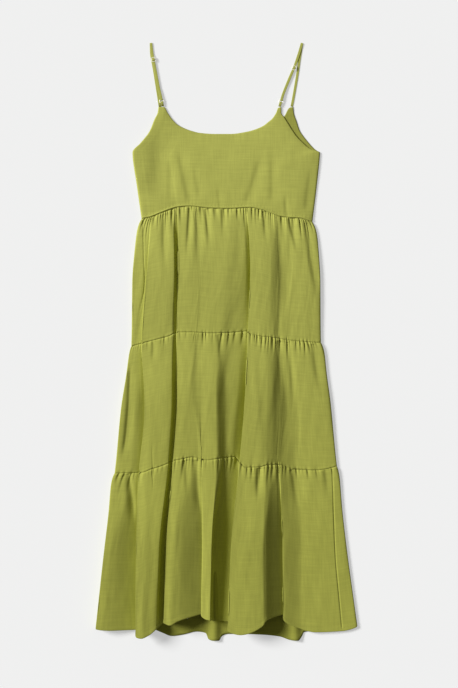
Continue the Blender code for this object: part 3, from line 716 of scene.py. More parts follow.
def feed(tree: Tree, node: bpy.types.Node, inputs: dict[str, object]) -> None:
    """Gives the inputs of a node what they read.

    Args:
        tree: Where the node is.
        node: The node.
        inputs: A socket or a constant for each input, by its name.
    """
    for name, value in inputs.items():
        if isinstance(value, Socket):
            tree.links.new(value, node.inputs[name])
        else:
            node.inputs[name].default_value = value


def new_node(tree: Tree, kind: str, inputs: dict[str, object], **settings: object
             ) -> bpy.types.Node:
    """Adds a node.

    Args:
        tree: Where it goes.
        kind: Its type.
        inputs: A socket or a constant for each input that has one.
        **settings: Its other settings.

    Returns:
        The node.
    """
    node = tree.nodes.new(kind)
    for name, value in settings.items():
        setattr(node, name, value)
    feed(tree, node, inputs)
    return node


def math_node(tree: Tree, operation: str, *terms: object) -> Socket:
    """Adds a Math node.

    Args:
        tree: Where the node goes.
        operation: Blender's name of the sum.
        *terms: Up to three numbers or sockets.

    Returns:
        The node's value.
    """
    node = new_node(tree, "ShaderNodeMath", {}, operation=operation)
    for slot, value in zip(node.inputs, terms):
        if isinstance(value, Socket):
            tree.links.new(value, slot)
        else:
            slot.default_value = value
    return node.outputs[0]


def noise_node(tree: Tree, place: Socket, scale: tuple[float, float, float], detail: float
               ) -> Socket:
    """Adds a noise stretched by three scales.

    Args:
        tree: Where the nodes go.
        place: The coordinates, in metres.
        scale: Patches for each metre along the three axes.
        detail: How many finer layers it has.

    Returns:
        The noise, from 0 to 1.
    """
    mapping = new_node(tree, "ShaderNodeMapping", {"Scale": scale, "Vector": place})
    noise = new_node(tree, "ShaderNodeTexNoise", {
        "Vector": mapping.outputs["Vector"], "Scale": 1.0, "Detail": detail, "Roughness": 0.55})
    return noise.outputs["Fac"]


def new_material(name: str, inputs: dict[str, object]) -> tuple[Material, Tree, bpy.types.Node]:
    """Makes a material with constants on its shader's sockets.

    Args:
        name: Its name.
        inputs: The constants.

    Returns:
        The material, its nodes and its shader.
    """
    material = bpy.data.materials.new(name)
    material.use_nodes = True
    tree = material.node_tree
    shader = tree.nodes["Principled BSDF"]
    feed(tree, shader, inputs)
    return material, tree, shader


def weave_group() -> Tree:
    """Builds the plain weave: crossing threads, slubs and slight unevenness of the dye.

    Returns:
        A node group that reads cloth places in metres.
    """
    tree = bpy.data.node_groups.new("plain_weave", "ShaderNodeTree")
    for name, way, kind in (
        ("Place", "INPUT", "Vector"), ("Colour", "INPUT", "Color"),
        ("Threads per metre", "INPUT", "Float"), ("Slub", "INPUT", "Float"),
        ("Gap shade", "INPUT", "Float"), ("Roughness", "INPUT", "Float"),
        ("Colour", "OUTPUT", "Color"), ("Roughness", "OUTPUT", "Float"),
        ("Height", "OUTPUT", "Float"),
    ):
        tree.interface.new_socket(name, in_out=way, socket_type=f"NodeSocket{kind}")
    given = tree.nodes.new("NodeGroupInput").outputs
    result = tree.nodes.new("NodeGroupOutput")
    place = given["Place"]

    axes = new_node(tree, "ShaderNodeSeparateXYZ", {"Vector": place}).outputs
    turn = math_node(tree, "MULTIPLY", given["Threads per metre"], math.pi)
    sway = noise_node(tree, place, (90.0, 90.0, 90.0), 1.0)
    sway = math_node(tree, "MULTIPLY", math_node(tree, "SUBTRACT", sway, 0.5), 2.5)
    waves = [math_node(tree, "SINE", math_node(tree, "MULTIPLY_ADD", axes[axis], turn, sway))
             for axis in (0, 1)]
    cross = math_node(tree, "MULTIPLY", *waves)
    thread = math_node(tree, "MULTIPLY_ADD", cross, 0.5, 0.5)

    pairs = []
    for warp, weft, detail in (((1500.0, 28.0, 1.0), (34.0, 1500.0, 1.0), 1.0),
                               ((430.0, 24.0, 1.0), (20.0, 430.0, 1.0), 0.0)):
        noises = [noise_node(tree, place, scale, detail) for scale in (warp, weft)]
        pairs.append(math_node(tree, "SUBTRACT", math_node(tree, "ADD", *noises), 1.0))
    slub = math_node(tree, "ADD", *pairs)
    broad = noise_node(tree, place, (9.0, 7.0, 1.0), 2.0)
    uneven = math_node(tree, "MULTIPLY_ADD", broad, 0.07, 0.965)
    tone = math_node(tree, "MULTIPLY_ADD", slub, given["Slub"], uneven)
    gap = math_node(tree, "SUBTRACT", 1.0, thread)
    tone = math_node(tree, "SUBTRACT", tone, math_node(tree, "MULTIPLY", gap, given["Gap shade"]))
    shaded = new_node(tree, "ShaderNodeVectorMath", {"Vector": given["Colour"], "Scale": tone},
                      operation="SCALE")
    feed(tree, result, {
        "Colour": shaded.outputs["Vector"],
        "Roughness": math_node(tree, "MULTIPLY_ADD", slub, 0.08, given["Roughness"]),
        "Height": math_node(tree, "MULTIPLY_ADD", slub, 0.9, thread)})
    return tree


@dataclass(frozen=True)
class WovenCloth:
    """Plain woven cloth, with painted shade that makes it darker and more saturated toward the
    hem.
    """

    name: str
    colour: Colour
    depth: tuple[float, float, float] = (0.84, 0.84, 0.70)  # colour's share at the hem, painted shade
    fade: tuple[float, float] = (0.36, -0.45)   # the y at which the painted shade starts and ends, metres
    threads: float = 1700.0
    slub: float = 0.16
    gap_shade: float = 0.16
    roughness: float = 0.86
    sheen: float = 0.03
    relief: float = 0.00006     # metres

    def build(self, weave: Tree) -> Material:
        """Makes the material around the shared weave.

        Args:
            weave: The weave's node group.

        Returns:
            The material.
        """
        material, tree, shader = new_material(self.name, {
            "Sheen Weight": self.sheen, "Sheen Roughness": 0.45,
            "Sheen Tint": (0.9, 0.95, 0.6, 1.0), "Specular IOR Level": 0.1})
        place = new_node(tree, "ShaderNodeTexCoord", {}).outputs["Object"]
        axes = new_node(tree, "ShaderNodeSeparateXYZ", {"Vector": place})
        share = new_node(tree, "ShaderNodeMapRange", {
            "Value": axes.outputs["Y"], "From Min": self.fade[0], "From Max": self.fade[1]})
        # Painted shade: the colour darkens and saturates toward the hem.
        painted_shade_colour = [shown * kept for shown, kept in zip(self.colour, self.depth)]
        mix = new_node(tree, "ShaderNodeMix", {
            "Factor": share.outputs["Result"], "A": self.colour, "B": (*painted_shade_colour, 1.0)},
            data_type="RGBA")
        spot = new_node(tree, "ShaderNodeUVMap", {}, uv_map="cloth")
        group = new_node(tree, "ShaderNodeGroup", {
            "Place": spot.outputs["UV"], "Colour": mix.outputs["Result"],
            "Threads per metre": self.threads, "Slub": self.slub,
            "Gap shade": self.gap_shade, "Roughness": self.roughness}, node_tree=weave)
        bump = new_node(tree, "ShaderNodeBump", {
            "Strength": 0.5, "Distance": self.relief, "Height": group.outputs["Height"]})
        feed(tree, shader, {
            "Base Color": group.outputs["Colour"], "Roughness": group.outputs["Roughness"],
            "Normal": bump.outputs["Normal"]})
        return material


@dataclass(frozen=True)
class Enamel:
    """Smooth cream coating on the small metal fittings, a little worn to grey."""

    name: str = "cream_enamel"
    colour: Colour = (0.93, 0.91, 0.78, 1.0)
    worn: Colour = (0.80, 0.77, 0.64, 1.0)
    roughness: float = 0.28

    def build(self) -> Material:
        """Makes the material.

        Returns:
            The material.
        """
        material, tree, shader = new_material(self.name, {
            "Coat Weight": 0.4, "Coat Roughness": 0.15})
        place = new_node(tree, "ShaderNodeTexCoord", {}).outputs["Object"]
        patches = noise_node(tree, place, (900.0, 900.0, 900.0), 2.0)
        wear = math_node(tree, "MULTIPLY", patches, 0.35)
        mix = new_node(tree, "ShaderNodeMix", {
            "Factor": wear, "A": self.colour, "B": self.worn}, data_type="RGBA")
        feed(tree, shader, {
            "Base Color": mix.outputs["Result"],
            "Roughness": math_node(tree, "MULTIPLY_ADD", patches, 0.15, self.roughness)})
        return material


@dataclass(frozen=True)
class PaleFloor:
    """Matt paint of the studio floor."""

    name: str = "pale_floor"
    tone: float = 0.4
    glow: float = 0.455         # a light table's own light, so that shadows stay pale

    def build(self) -> Material:
        """Makes the material.

        Returns:
            The material.
        """
        return new_material(self.name, {
            "Base Color": (self.tone, self.tone, self.tone, 1.0), "Roughness": 0.95,
            "Specular IOR Level": 0.0, "Emission Color": (0.96, 0.965, 1.0, 1.0),
            "Emission Strength": self.glow})[0]


@dataclass(frozen=True)
class Finishes:
    """The finished materials that the pieces share."""

    cloth: Material
    inside: Material
    strap: Material
    thread: Material
    enamel: Material
    floor: Material

    @classmethod
    def make(cls) -> "Finishes":
        """Builds every finish once.

        Returns:
            The finishes.
        """
        weave = weave_group()
        return cls(
            cloth=WovenCloth("olive_cloth", (0.388, 0.397, 0.088, 1.0)).build(weave),
            # The back panels get a darker copy of the cloth: painted shade for the shadow they lie
            # in under the front.
            inside=WovenCloth("olive_cloth_back_shaded", (0.290, 0.296, 0.058, 1.0)).build(weave),
            strap=WovenCloth("olive_strap", (0.37, 0.38, 0.09, 1.0), slub=0.1).build(weave),
            thread=WovenCloth("olive_thread", (0.44, 0.45, 0.12, 1.0), threads=3500.0,
                              gap_shade=0.3).build(weave),
            enamel=Enamel().build(),
            floor=PaleFloor().build(),
        )


# ---------------------------------------------------------------- meshes

def new_object(name: str, bm: bmesh.types.BMesh, material: Material) -> bpy.types.Object:
    """Turns a bmesh into a smooth object at the origin.

    Args:
        name: Its name.
        bm: The bmesh, which is freed.
        material: Its finish.

    Returns:
        The object.
    """
    mesh = bpy.data.meshes.new(name)
    bm.to_mesh(mesh)
    bm.free()
    mesh.materials.append(material)
    mesh.shade_smooth()
    item = bpy.data.objects.new(name, mesh)
    bpy.context.scene.collection.objects.link(item)
    return item


def keep(item: bpy.types.Object, slot: Slot, *nodes: str) -> bpy.types.Object:
    """Carries a piece on the dress's one body, and reports it.

    Args:
        item: The piece.
        slot: Its material slot. Not used.
        *nodes: The solids that it stands for.

    Returns:
        The piece.
    """
    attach(item, "root")
    if nodes:
        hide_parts(*nodes)
    log.info("%s", item.name)
    return item


def grid_mesh(bm: bmesh.types.BMesh, points: Array, cloth: Array) -> list[bmesh.types.BMVert]:
    """Adds a grid to a bmesh and moves it to its points.

    Args:
        bm: The bmesh.
        points: Rows by columns by three, millimetres, rows running up and columns right.
        cloth: Rows by columns by two, millimetres on the cloth.

    Returns:
        The grid's vertices, row by row.
    """
    rows, columns = points.shape[:2]
    layer = bm.loops.layers.uv.get("cloth") or bm.loops.layers.uv.new("cloth")
    made = bmesh.ops.create_grid(bm, x_segments=columns - 1, y_segments=rows - 1, size=1.0)
    verts = made["verts"]
    for vert, point in zip(verts, points.reshape(-1, 3) * MM):
        vert.co = point
    place = dict(zip(verts, cloth.reshape(-1, 2) * MM))
    for face in {face for vert in verts for face in vert.link_faces}:
        for loop in face.loops:
            loop[layer].uv = place[loop.vert]
    return verts


def cloth_shell(node: str, points: Array, cloth: Array, material: Material,
                wall: float = WALL) -> bpy.types.Object:
    """Makes a thin closed shell whose upper face passes through a grid of points.

    Args:
        node: The solid that it stands for.
        points: Rows by columns by three, millimetres.
        cloth: Rows by columns by two, millimetres on the cloth.
        material: Its finish.
        wall: Its thickness, below the grid.

    Returns:
        The piece.
    """
    bm = bmesh.new()
    grid_mesh(bm, points, cloth)
    item = new_object(f"{node}_cloth", bm, material)
    solid = item.modifiers.new("wall", "SOLIDIFY")
    solid.thickness = wall * MM
    solid.offset = -1.0
    solid.use_rim = True
    return keep(item, Slot.CLOTH, node)


def swept(bm: bmesh.types.BMesh, path: Array, section: Array, closed: bool) -> None:
    """Sweeps a closed section along a path into a bmesh, its width kept level.

    Args:
        bm: The bmesh.
        path: Points, millimetres.
        section: Points round the section, across and up.
        closed: Whether the path joins its own start.
    """
    around = np.vstack((section, section[:1]))
    if closed:
        path = np.vstack((path, path[:1]))
        way = np.gradient(np.vstack((path[-2], path, path[1])), axis=0)[1:-1]
    else:
        way = np.gradient(path, axis=0)
    way /= np.linalg.norm(way, axis=1, keepdims=True)
    points = np.empty((len(path), len(around), 3))
    side = None
    for index, (point, ahead) in enumerate(zip(path, way)):
        level = np.array((ahead[1], -ahead[0], 0.0))
        length = np.linalg.norm(level)
        if side is None or length > 0.5:
            fresh = level / length
            side = -fresh if side is not None and fresh @ side < 0 else fresh
        up = np.cross(side, ahead)
        points[index] = point + around[:, :1] * side + around[:, 1:] * up
    cloth = np.dstack(np.meshgrid(distances(around), distances(path)))
    verts = grid_mesh(bm, points, cloth)
    bmesh.ops.remove_doubles(bm, verts=verts, dist=1e-6)
    if not closed:
        rims = [edge for edge in bm.edges if edge.is_boundary]
        bmesh.ops.holes_fill(bm, edges=rims, sides=0)


def swept_piece(node: str, form: str, slot: Slot, material: Material,
                *runs: tuple[Array, Array, bool]) -> None:
    """Makes one piece of swept sections.

    Args:
        node: The solid that it stands for.
        form: The last word of its name.
        slot: Its material slot.
        material: Its finish.
        *runs: The path and the section of each sweep, and whether it is closed.
    """
    bm = bmesh.new()
    for path, section, closed in runs:
        swept(bm, path, section, closed)
    bmesh.ops.recalc_face_normals(bm, faces=bm.faces)
    keep(new_object(f"{node}_{form}", bm, material), slot, node)


def oval(width: float, thick: float, count: int, squareness: float) -> Array:
    """Points round a flat rounded section.

    Args:
        width: Its width.
        thick: Its thickness.
        count: How many points it has.
        squareness: 2 for an ellipse, and more for fuller corners.

    Returns:
        Points across and up.
    """
    angle = np.linspace(0.0, 2 * np.pi, count, endpoint=False)
    ways = np.column_stack((np.cos(angle), np.sin(angle)))
    return np.sign(ways) * np.abs(ways) ** (2.0 / squareness) * (width, thick) / 2


def stitches(name: str, runs: list[Array], finish: Material, pitch: float = 3.0,
             length: float = 2.2, thick: float = 0.5) -> None:
    """Makes rows of stitches as one piece, each a few faces.

    Args:
        name: The piece's name.
        runs: One row of stitches along each of these lines of points, millimetres.
        finish: The thread's material.
        pitch: From one stitch to the next.
        length: Of one stitch.
        thick: Its thickness.
    """
    bm = bmesh.new()
    layer = bm.loops.layers.uv.new("cloth")
    for run in runs:
        reach = distances(run)
        stops = np.arange(pitch / 2, reach[-1], pitch)
        starts, tips = (
            np.column_stack([np.interp(stops + ahead, reach, run[:, axis]) for axis in range(3)])
            for ahead in (0.0, length / 2))
        for point, tip in zip(starts, tips):
            way = Vector(tip - point)
            if way.length < 1e-6:
                continue
            turn = way.to_track_quat("X", "Z").to_matrix().to_4x4()
            size = Matrix.Diagonal((length / 2 * MM, thick / 2 * MM, thick / 2 * MM, 1.0))
            place = Matrix.Translation(Vector(point) * MM)
            bmesh.ops.create_icosphere(bm, subdivisions=1, radius=1.0,
                                       matrix=place @ turn @ size)
    for face in bm.faces:
        for loop in face.loops:
            loop[layer].uv = loop.vert.co.xy
    bmesh.ops.recalc_face_normals(bm, faces=bm.faces)
    keep(new_object(name, bm, finish), Slot.CLOTH)


# ---------------------------------------------------------------- skirt

class SkirtFront:
    """The front of the skirt as one sheet: columns across it, and stations down it."""

    def __init__(self, columns: int) -> None:
        """Places the columns evenly over the cloth.

        Args:
            columns: How many there are.
        """
        across = np.array([line.across for line in FOLD_LINES])
        height = np.array([line.height for line in FOLD_LINES])
        hem = np.array([line.hem for line in FOLD_LINES])
        spans = np.hypot(np.diff(across, axis=0), np.diff(height, axis=0)).mean(axis=1)
        knots = np.concatenate(([0.0], np.cumsum(spans)))
        self.cloth = np.linspace(0.0, knots[-1], columns)
        self.x = monotone(knots, across, self.cloth).T
        self.z = monotone(knots, height, self.cloth).T
        self.hem = monotone(knots, hem, self.cloth)

    def edge_y(self, seam: int) -> Array:
        """Reads y along a seam or the hem.

        Args:
            seam: 0 for the waist seam, 1, 2, or 3 for the hem.

        Returns:
            One y for each column.
        """
        if seam == len(SEAMS):
            return self.hem
        return seam_y(SEAMS[seam], self.x[2 * seam])

    def tier(self, number: int, down: Array) -> Array:
        """Reads the plain folded surface of a tier.

        Args:
            number: 1, 2 or 3.
            down: The rows' shares of the way down.

        Returns:
            Rows by columns by three.
        """
        stations = np.arange(len(self.x))
        places = 2 * (number - 1 + down)
        across = monotone(stations, self.x, places)
        height = monotone(stations, self.z, places)
        top = self.edge_y(number - 1) - GAP / 2
        low = self.edge_y(number) + (GAP / 2 if number < len(SEAMS) else 0.0)
        share = down[:, None]
        run = share * (top - low) / FLARE_RUN
        swell = run * np.exp(1 - run)
        for flare, from_side in zip(FLARES[number - 1], (self.cloth, self.cloth[-1] - self.cloth)):
            across = across + flare * swell * bell(from_side, FLARE_WIDTH)
        return np.dstack((across, top * (1 - share) + low * share, height))


@dataclass(frozen=True)
class FrontTier:
    """One gathered tier of the skirt's front."""

    number: int
    skirt: SkirtFront
    length: float
    fine_pitch: float = 8.4       # between small gathers, on the cloth
    fine_depth: float = 2.2
    fine_reach: float = 26.0
    strong: float = 1.35          # how many times deeper the listed gathers are cut
    fan: float = 34.0             # how far down a gather is twice as wide
    lopsided: tuple[float, float] = (0.7, 1.5)  # its left and right half, in its widths
    puff: float = 1.2             # how far the gathers push the cloth up under the seam
    puff_reach: float = 30.0
    pull: float = 0.4             # share of the next seam's gathers that shows above it
    pull_reach: float = 8.0
    low_roll: float = 0.4         # height of the soft roll along the seam below
    low_tuck: float = 0.3         # how far the low edge turns down there
    hem_tuck: float = 0.5         # how far it does at the hem
    tuck: float = 0.9             # how far the top edge lies under the piece above it
    overlap: float = 1.4
    lowest: float = 2.1           # of its upper face
    unevenness: float = 0.25
    plain_edge: float = 9.0       # beside each side edge, where all of this fades out
    seed: int = 40                # with the seam's number, picks its small gathers

    @property
    def name(self) -> str:
        """The piece's name."""
        return f"tier_{self.number}_front"

    def gathers(self, seam: int) -> Array:
        """Lists a seam's gathers: place on the cloth, depth, reach, width and slant of each.

        Args:
            seam: 1 for the waist seam, and so on down.

        Returns:
            One row for each gather.
        """
        draw = np.random.default_rng(self.seed + seam)
        seam_x = self.skirt.x[2 * (seam - 1)]
        cloth = self.skirt.cloth
        rows = []
        place = self.fine_pitch
        while place < cloth[-1] - self.fine_pitch / 2:
            strength = draw.uniform(0.25, 1.0)
            at = np.interp(place, cloth, seam_x)
            for run in CALM.get(seam, ()):
                if run.start < at < run.end:
                    strength *= run.share
            rows.append((place, self.fine_depth * strength,
                         self.fine_reach * draw.uniform(0.35, 1.4) * (0.5 + strength),
                         draw.uniform(1.2, 1.9), draw.uniform(-0.06, 0.06)))
            place += self.fine_pitch * draw.uniform(0.6, 1.4)
        for gather in GATHERS[seam]:
            rows.append((np.interp(gather.place, seam_x, cloth), gather.depth * self.strong,
                         gather.reach, gather.width, draw.uniform(-0.03, 0.03)))
        return np.array(rows)

    def relief(self, base: Array, down: Array, up: Array) -> Array:
        """Works out how far the cloth stands off its plain fold.

        Args:
            base: The plain folded surface, rows running up.
            down: Distance of each point below the tier's seam.
            up: Distance of each point above the tier's low edge.

        Returns:
            Rows by columns, millimetres along the normal.
        """
        cloth = self.skirt.cloth
        total = self.puff * ramp(down, 0.0, 4.0) * bell(down, self.puff_reach)
        total -= crease_depths(base[..., :2], self.name)
        pinch = 0.5 + 0.5 * ramp(down, -1.0, 3.0)
        for place, depth, reach, width, slant in self.gathers(self.number):
            away = cloth - place - slant * down
            fade = np.clip(1 - down / reach, 0.0, 1.0) ** 1.2
            spread = width * (1 + down / self.fan) * np.where(away < 0, *self.lopsided)
            total -= depth * fade * pinch * bell(away, spread)
        places = np.dstack((np.broadcast_to(cloth, base.shape[:2]), base[..., 1]))
        calm = 0.4 + 0.6 * ramp(down, 5.0, 60.0)
        broad = ripple(places, seed=self.number, wide=34.0, tall=170.0)
        fine = ripple(places, seed=self.number + 7, wide=13.0, tall=60.0)
        total += self.unevenness * (calm * broad + 0.3 * fine)
        if self.number == len(SEAMS):
            total += hem_rise(up, blur=0.4)
            total -= STITCH_DIP * bell(up - HEM_STITCHES, 0.6) + self.hem_tuck * bell(up, 0.8)
        else:
            pull = self.pull * (1 - ramp(up, 0.0, self.pull_reach))
            for place, depth, _, width, _ in self.gathers(self.number + 1):
                total -= depth * pull * bell(cloth - place, 1.4 * width)
            total += self.low_roll * bell(up - 2.4, 1.6)
            total -= self.low_tuck * (1 - ramp(up, 0.0, 1.0))
        total -= self.tuck * (1 - ramp(down, -0.5, 2.6))
        return total * ramp(np.minimum(cloth, cloth[-1] - cloth), 0.0, self.plain_edge)

    def surface(self) -> list[Array]:
        """Works out the upper face.

        Returns:
            Its points, and their places on the cloth.
        """
        shares = graded(self.length, first=0.6, growth=(1.2, 1.35), widest=9.0)
        base = self.skirt.tier(self.number, shares)[::-1]
        down = below_top_edge(base)
        lift = self.relief(base, down, above_low_edge(base))
        points = base + upward_normals(base) * lift[..., None]
        points[[0, -1], :, 1] = base[[0, -1], :, 1]
        points = np.concatenate((points, points[-1:] + (0.0, self.overlap, -0.1)))
        points[..., 2] = np.maximum(points[..., 2], self.lowest)
        down = np.concatenate((down, np.full_like(down[:1], -self.overlap)))
        cloth = np.dstack((np.broadcast_to(self.skirt.cloth, down.shape), -down))
        return wrap_sides(points, cloth)

    def build(self, finishes: Finishes) -> Array:
        """Makes the tier.

        Args:
            finishes: The shared materials.

        Returns:
            The points of its upper face.
        """
        points, cloth = self.surface()
        item = cloth_shell(self.name, points, cloth, finishes.cloth)
        return points


def back_seam(number: int, shares: Array, shift: float) -> Array:
    """Reads a seam of the back, a low arch between its ends.

    Args:
        number: 0 for the waist seam, and so on down.
        shares: Shares of the way across.
        shift: How far up the line is moved.

    Returns:
        Plan points.
    """
    start, end = np.array(SEAMS[number])[[0, -1]] + ((BACK_INSET, 0.0), (-BACK_INSET, 0.0))
    part = shares[:, None]
    arch = 4 * BACK_ARCH[number] * part * (1 - part) + shift
    return start + (end - start) * part + arch * (0.0, 1.0)


@dataclass(frozen=True)
class BackPanel:
    """A panel of the back, which lies on the surface but for a few low folds."""

    name: str
    columns: int
    rows: int
    length: float
    gathered: bool = True
    hemmed: bool = False
    gather_height: float = 0.8
    gather_reach: float = 34.0
    plain_edge: float = 22.0      # beside each side edge, where all of this fades out

    def heights(self, plan: Array) -> Array:
        """Works out how far the panel leaves the surface.

        Args:
            plan: Rows by columns by two, rows running up.

        Returns:
            Rows by columns.
        """
        lift = np.zeros(plan.shape[:2])
        for fold in BACK_LIFTS[self.name]:
            distance, _, share = line_distance(plan, (fold.high, fold.low))
            fade = ramp(share, 0.0, 0.35)
            if fold.height < OPEN_LIFT:
                fade = fade * (1 - ramp(share, 0.7, 1.0))
            lift += fold.height * fade * bell(distance, fold.width)
        if self.gathered:
            waves = wavering(plan[..., 0], turn=0.78, sway=1.7, slow=0.11)
            fade = np.clip(1 - below_top_edge(plan) / self.gather_reach, 0.0, 1.0) ** 1.4
            lift += self.gather_height * waves * fade
        edge = np.minimum(plan[..., 0] - plan[:, :1, 0], plan[:, -1:, 0] - plan[..., 0])
        return lift * ramp(edge, 0.0, self.plain_edge)

    def build(self, left: Array, right: Array, top: Array, low: Array,
              finishes: Finishes) -> Array:
        """Makes the panel between its edge lines.

        Args:
            left: Points of the left edge, from the low edge up.
            right: Points of the right edge, from the low edge up.
            top: Points of the top edge, from left to right.
            low: Points of the low edge, from left to right.
            finishes: The shared materials.

        Returns:
            The points of its upper face.
        """
        plan = coons(left, right, top, low, np.linspace(0.0, 1.0, self.rows),
                     np.linspace(0.0, 1.0, self.columns))
        height = self.heights(plan) + BACK_TOP
        if self.hemmed:
            height += hem_rise(above_low_edge(plan), blur=0.5)
        points = np.dstack((plan, height))
        # The darker copy of the cloth used here is painted shade.
        item = cloth_shell(self.name, points, plan - plan[-1, 0], finishes.inside, BACK_TOP)
        if self.gathered:
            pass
        else:
            grid_area(points)
        return points


@dataclass(frozen=True)
class Skirt:
    """The three tiers, front and back, and the hem's stitches."""

    columns: int = 800
    back_columns: int = 150
    back_rows: int = 60
    lengths: tuple[float, ...] = (264.0, 264.0, 348.0)

    def build(self, finishes: Finishes) -> SkirtFront:
        """Makes all six tiers.

        Args:
            finishes: The shared materials.

        Returns:
            The front's folded sheet.
        """
        front = SkirtFront(self.columns)
        over = np.linspace(0.0, 1.0, self.back_columns)
        down = np.linspace(1.0, 0.0, self.back_rows)
        for number, length in enumerate(self.lengths, start=1):
            points = FrontTier(number, front, length).build(finishes)
            sides = front.tier(number, down)[..., :2]
            top = back_seam(number - 1, over, -GAP / 2)
            if number < len(SEAMS):
                low = back_seam(number, over, GAP / 2)
            else:
                low = along(BACK_HEM, over)
            panel = BackPanel(f"tier_{number}_back", self.back_columns, self.back_rows,
                              length, hemmed=number == len(SEAMS))
            back = panel.build(sides[:, 0] + (BACK_INSET, 0.0), sides[:, -1] - (BACK_INSET, 0.0),
                               top, low, finishes)
        hems = [line_above(panel, HEM_STITCHES) for panel in (points, back)]
        stitches("hem_stitches", hems, finishes.thread)
        return front


# ---------------------------------------------------------------- bodice

@dataclass(frozen=True)
class Bodice:
    """The plain bodice, front over back, with its topstitched ridge over the waist seam."""

    skirt: SkirtFront
    length: float = 170.0
    columns: int = 190
    back_columns: int = 120
    back_rows: int = 70
    crown: float = 1.6            # how far the front rises between its edges
    lean: float = 2.6             # how far its left edge stands above the middle
    lean_reach: float = 0.16      # share of the way across over which it does
    rim: float = 0.0012           # share of the way across in which its sides come up
    unevenness: float = 0.25
    ridge: float = 1.7
    ridge_width: float = 4.4
    dimples: float = 0.15         # share of its height that its puckers take away
    stitch_step: float = 1.0      # from the ridge up to its stitches
    stitch_rise: float = 0.1      # how far they stand out of the cloth
    pucker: float = 0.35          # depth of the puckers above the stitches
    tuck: float = 1.2             # how far the low edge turns down
    neck_roll: float = 0.7        # how far the neckline's edge turns down
    clearance: float = 1.0        # at the least, under the front's wall

    def heights(self, plan: Array, down: Array, over: Array) -> Array:
        """Works out the upper face of the front over its plan points.

        Args:
            plan: Rows by columns by two, rows running up.
            down: The rows' shares of the way down.
            over: The columns' shares of the way across.

        Returns:
            Rows by columns.
        """
        at_waist = np.interp(plan[0, :, 0], self.skirt.x[0], self.skirt.z[0])
        depth = down[:, None]
        edge = np.clip(np.minimum(over, 1 - over) / self.rim, 0.0, 1.0)
        base = NECK_HEIGHT + (at_waist - NECK_HEIGHT) * depth ** 0.8
        base = SIDE_HEIGHT + (base - SIDE_HEIGHT) * edge ** 0.6
        crown = self.crown * (1 - np.clip(2 * over - 1, 0.0, 1.0) ** 8)
        crown = crown + self.lean * np.clip(1 - over / self.lean_reach, 0.0, 1.0) * edge
        height = base + crown * np.sin(np.pi * depth ** 0.8)
        uneven = self.unevenness * ripple(plan, seed=9, wide=60.0, tall=110.0)
        height += (uneven - crease_depths(plan, "bodice_front")) * edge
        above = above_low_edge(plan)
        ridge = self.ridge * bell(above - self.ridge_width / 2, self.ridge_width / 2.6)
        waves = wavering(plan[..., 0], turn=1.05, sway=2.0, slow=0.13)
        height += ridge * (1 - self.dimples * (1 - waves))
        height -= self.pucker * waves * bell(above - self.ridge_width - 1.2, 4.5)
        height -= self.tuck * (1 - ramp(above, 0.0, 1.6))
        height -= self.neck_roll * bell(below_top_edge(plan), 1.1)
        return np.maximum(height, WALL + self.clearance)

    def build(self, finishes: Finishes) -> None:
        """Makes the front, the back and their stitches.

        Args:
            finishes: The shared materials.
        """
        over = np.linspace(0.004, 0.996, self.columns)
        over = np.concatenate(((0.0, self.rim), over, (1 - self.rim, 1.0)))
        down = 1 - graded(self.length, first=0.6, growth=(1.22, 1.3), widest=2.6)
        start, end = WAIST_SEAM[0][0], WAIST_SEAM[-1][0]
        across = start + (end - start) * over
        waist = np.column_stack((across, seam_y(WAIST_SEAM, across) + GAP / 2))
        plan = coons(along(FRONT_LEFT_EDGE, down), along(FRONT_RIGHT_EDGE, down),
                     along(FRONT_NECK, over), waist, 1 - down, over)
        points = np.dstack((plan, self.heights(plan, down, over)))
        points, cloth = wrap_sides(points, plan - plan[-1, 0])
        item = cloth_shell("bodice_front", points, cloth, finishes.cloth)
        grid_area(points)
        line = line_above(points, self.ridge_width + self.stitch_step)
        stitches("waist_stitches", [line + (0.0, 0.0, self.stitch_rise)], finishes.thread)

        rows = np.linspace(1.0, 0.0, self.back_rows)
        wide = np.linspace(0.0, 1.0, self.back_columns)
        panel = BackPanel("bodice_back", self.back_columns, self.back_rows, self.length,
                          gathered=False)
        panel.build(along(BACK_LEFT_EDGE, rows), along(BACK_RIGHT_EDGE, rows),
                    along(BACK_NECK, wide), back_seam(0, wide, GAP / 2), finishes)


# ---------------------------------------------------------------- straps

BACK_RUN = 0.45           # height of the back run's middle
LOWER_RUN = 1.55          # height of the front run, and of its turned-back end
MIDDLE_RUN = 2.65         # height of the front run over its turned-back end
HAIRPIN = 1.3             # radius of the cloth's bend round the ring
SHOULDER_TURN = 0.55      # radius of its bend over the shoulder
WIRE_HEIGHT = LOWER_RUN + HAIRPIN
SLIDER_HEIGHT = 3.8
OVER_BAR = 4.95

# From the ring down onto its turned-back end: shares of the front run, and heights.
RING_CLIMB = ((0.0, WIRE_HEIGHT + HAIRPIN), (0.10, MIDDLE_RUN + 0.7), (0.22, MIDDLE_RUN))
# Through the slider: shares of its half length from the bar, and of the climb over the bar.
BAR_CLIMB = ((-2.2, 0.0), (-1.0, 0.0), (-0.82, 0.02), (-0.5, 0.5), (-0.2, 0.98), (0.0, 1.0),
             (0.2, 0.98), (0.5, 0.5), (0.82, 0.02), (1.0, 0.0))
BAR_END = 2.2             # half lengths past the bar, where the run is down again
BAR_REST = 3.2            # half lengths past the bar, from where it lies level


def raised(plan: Array, height: Array | float) -> Array:
    """Gives plan points one height, or one each."""
    return np.column_stack((plan, np.broadcast_to(height, len(plan))))


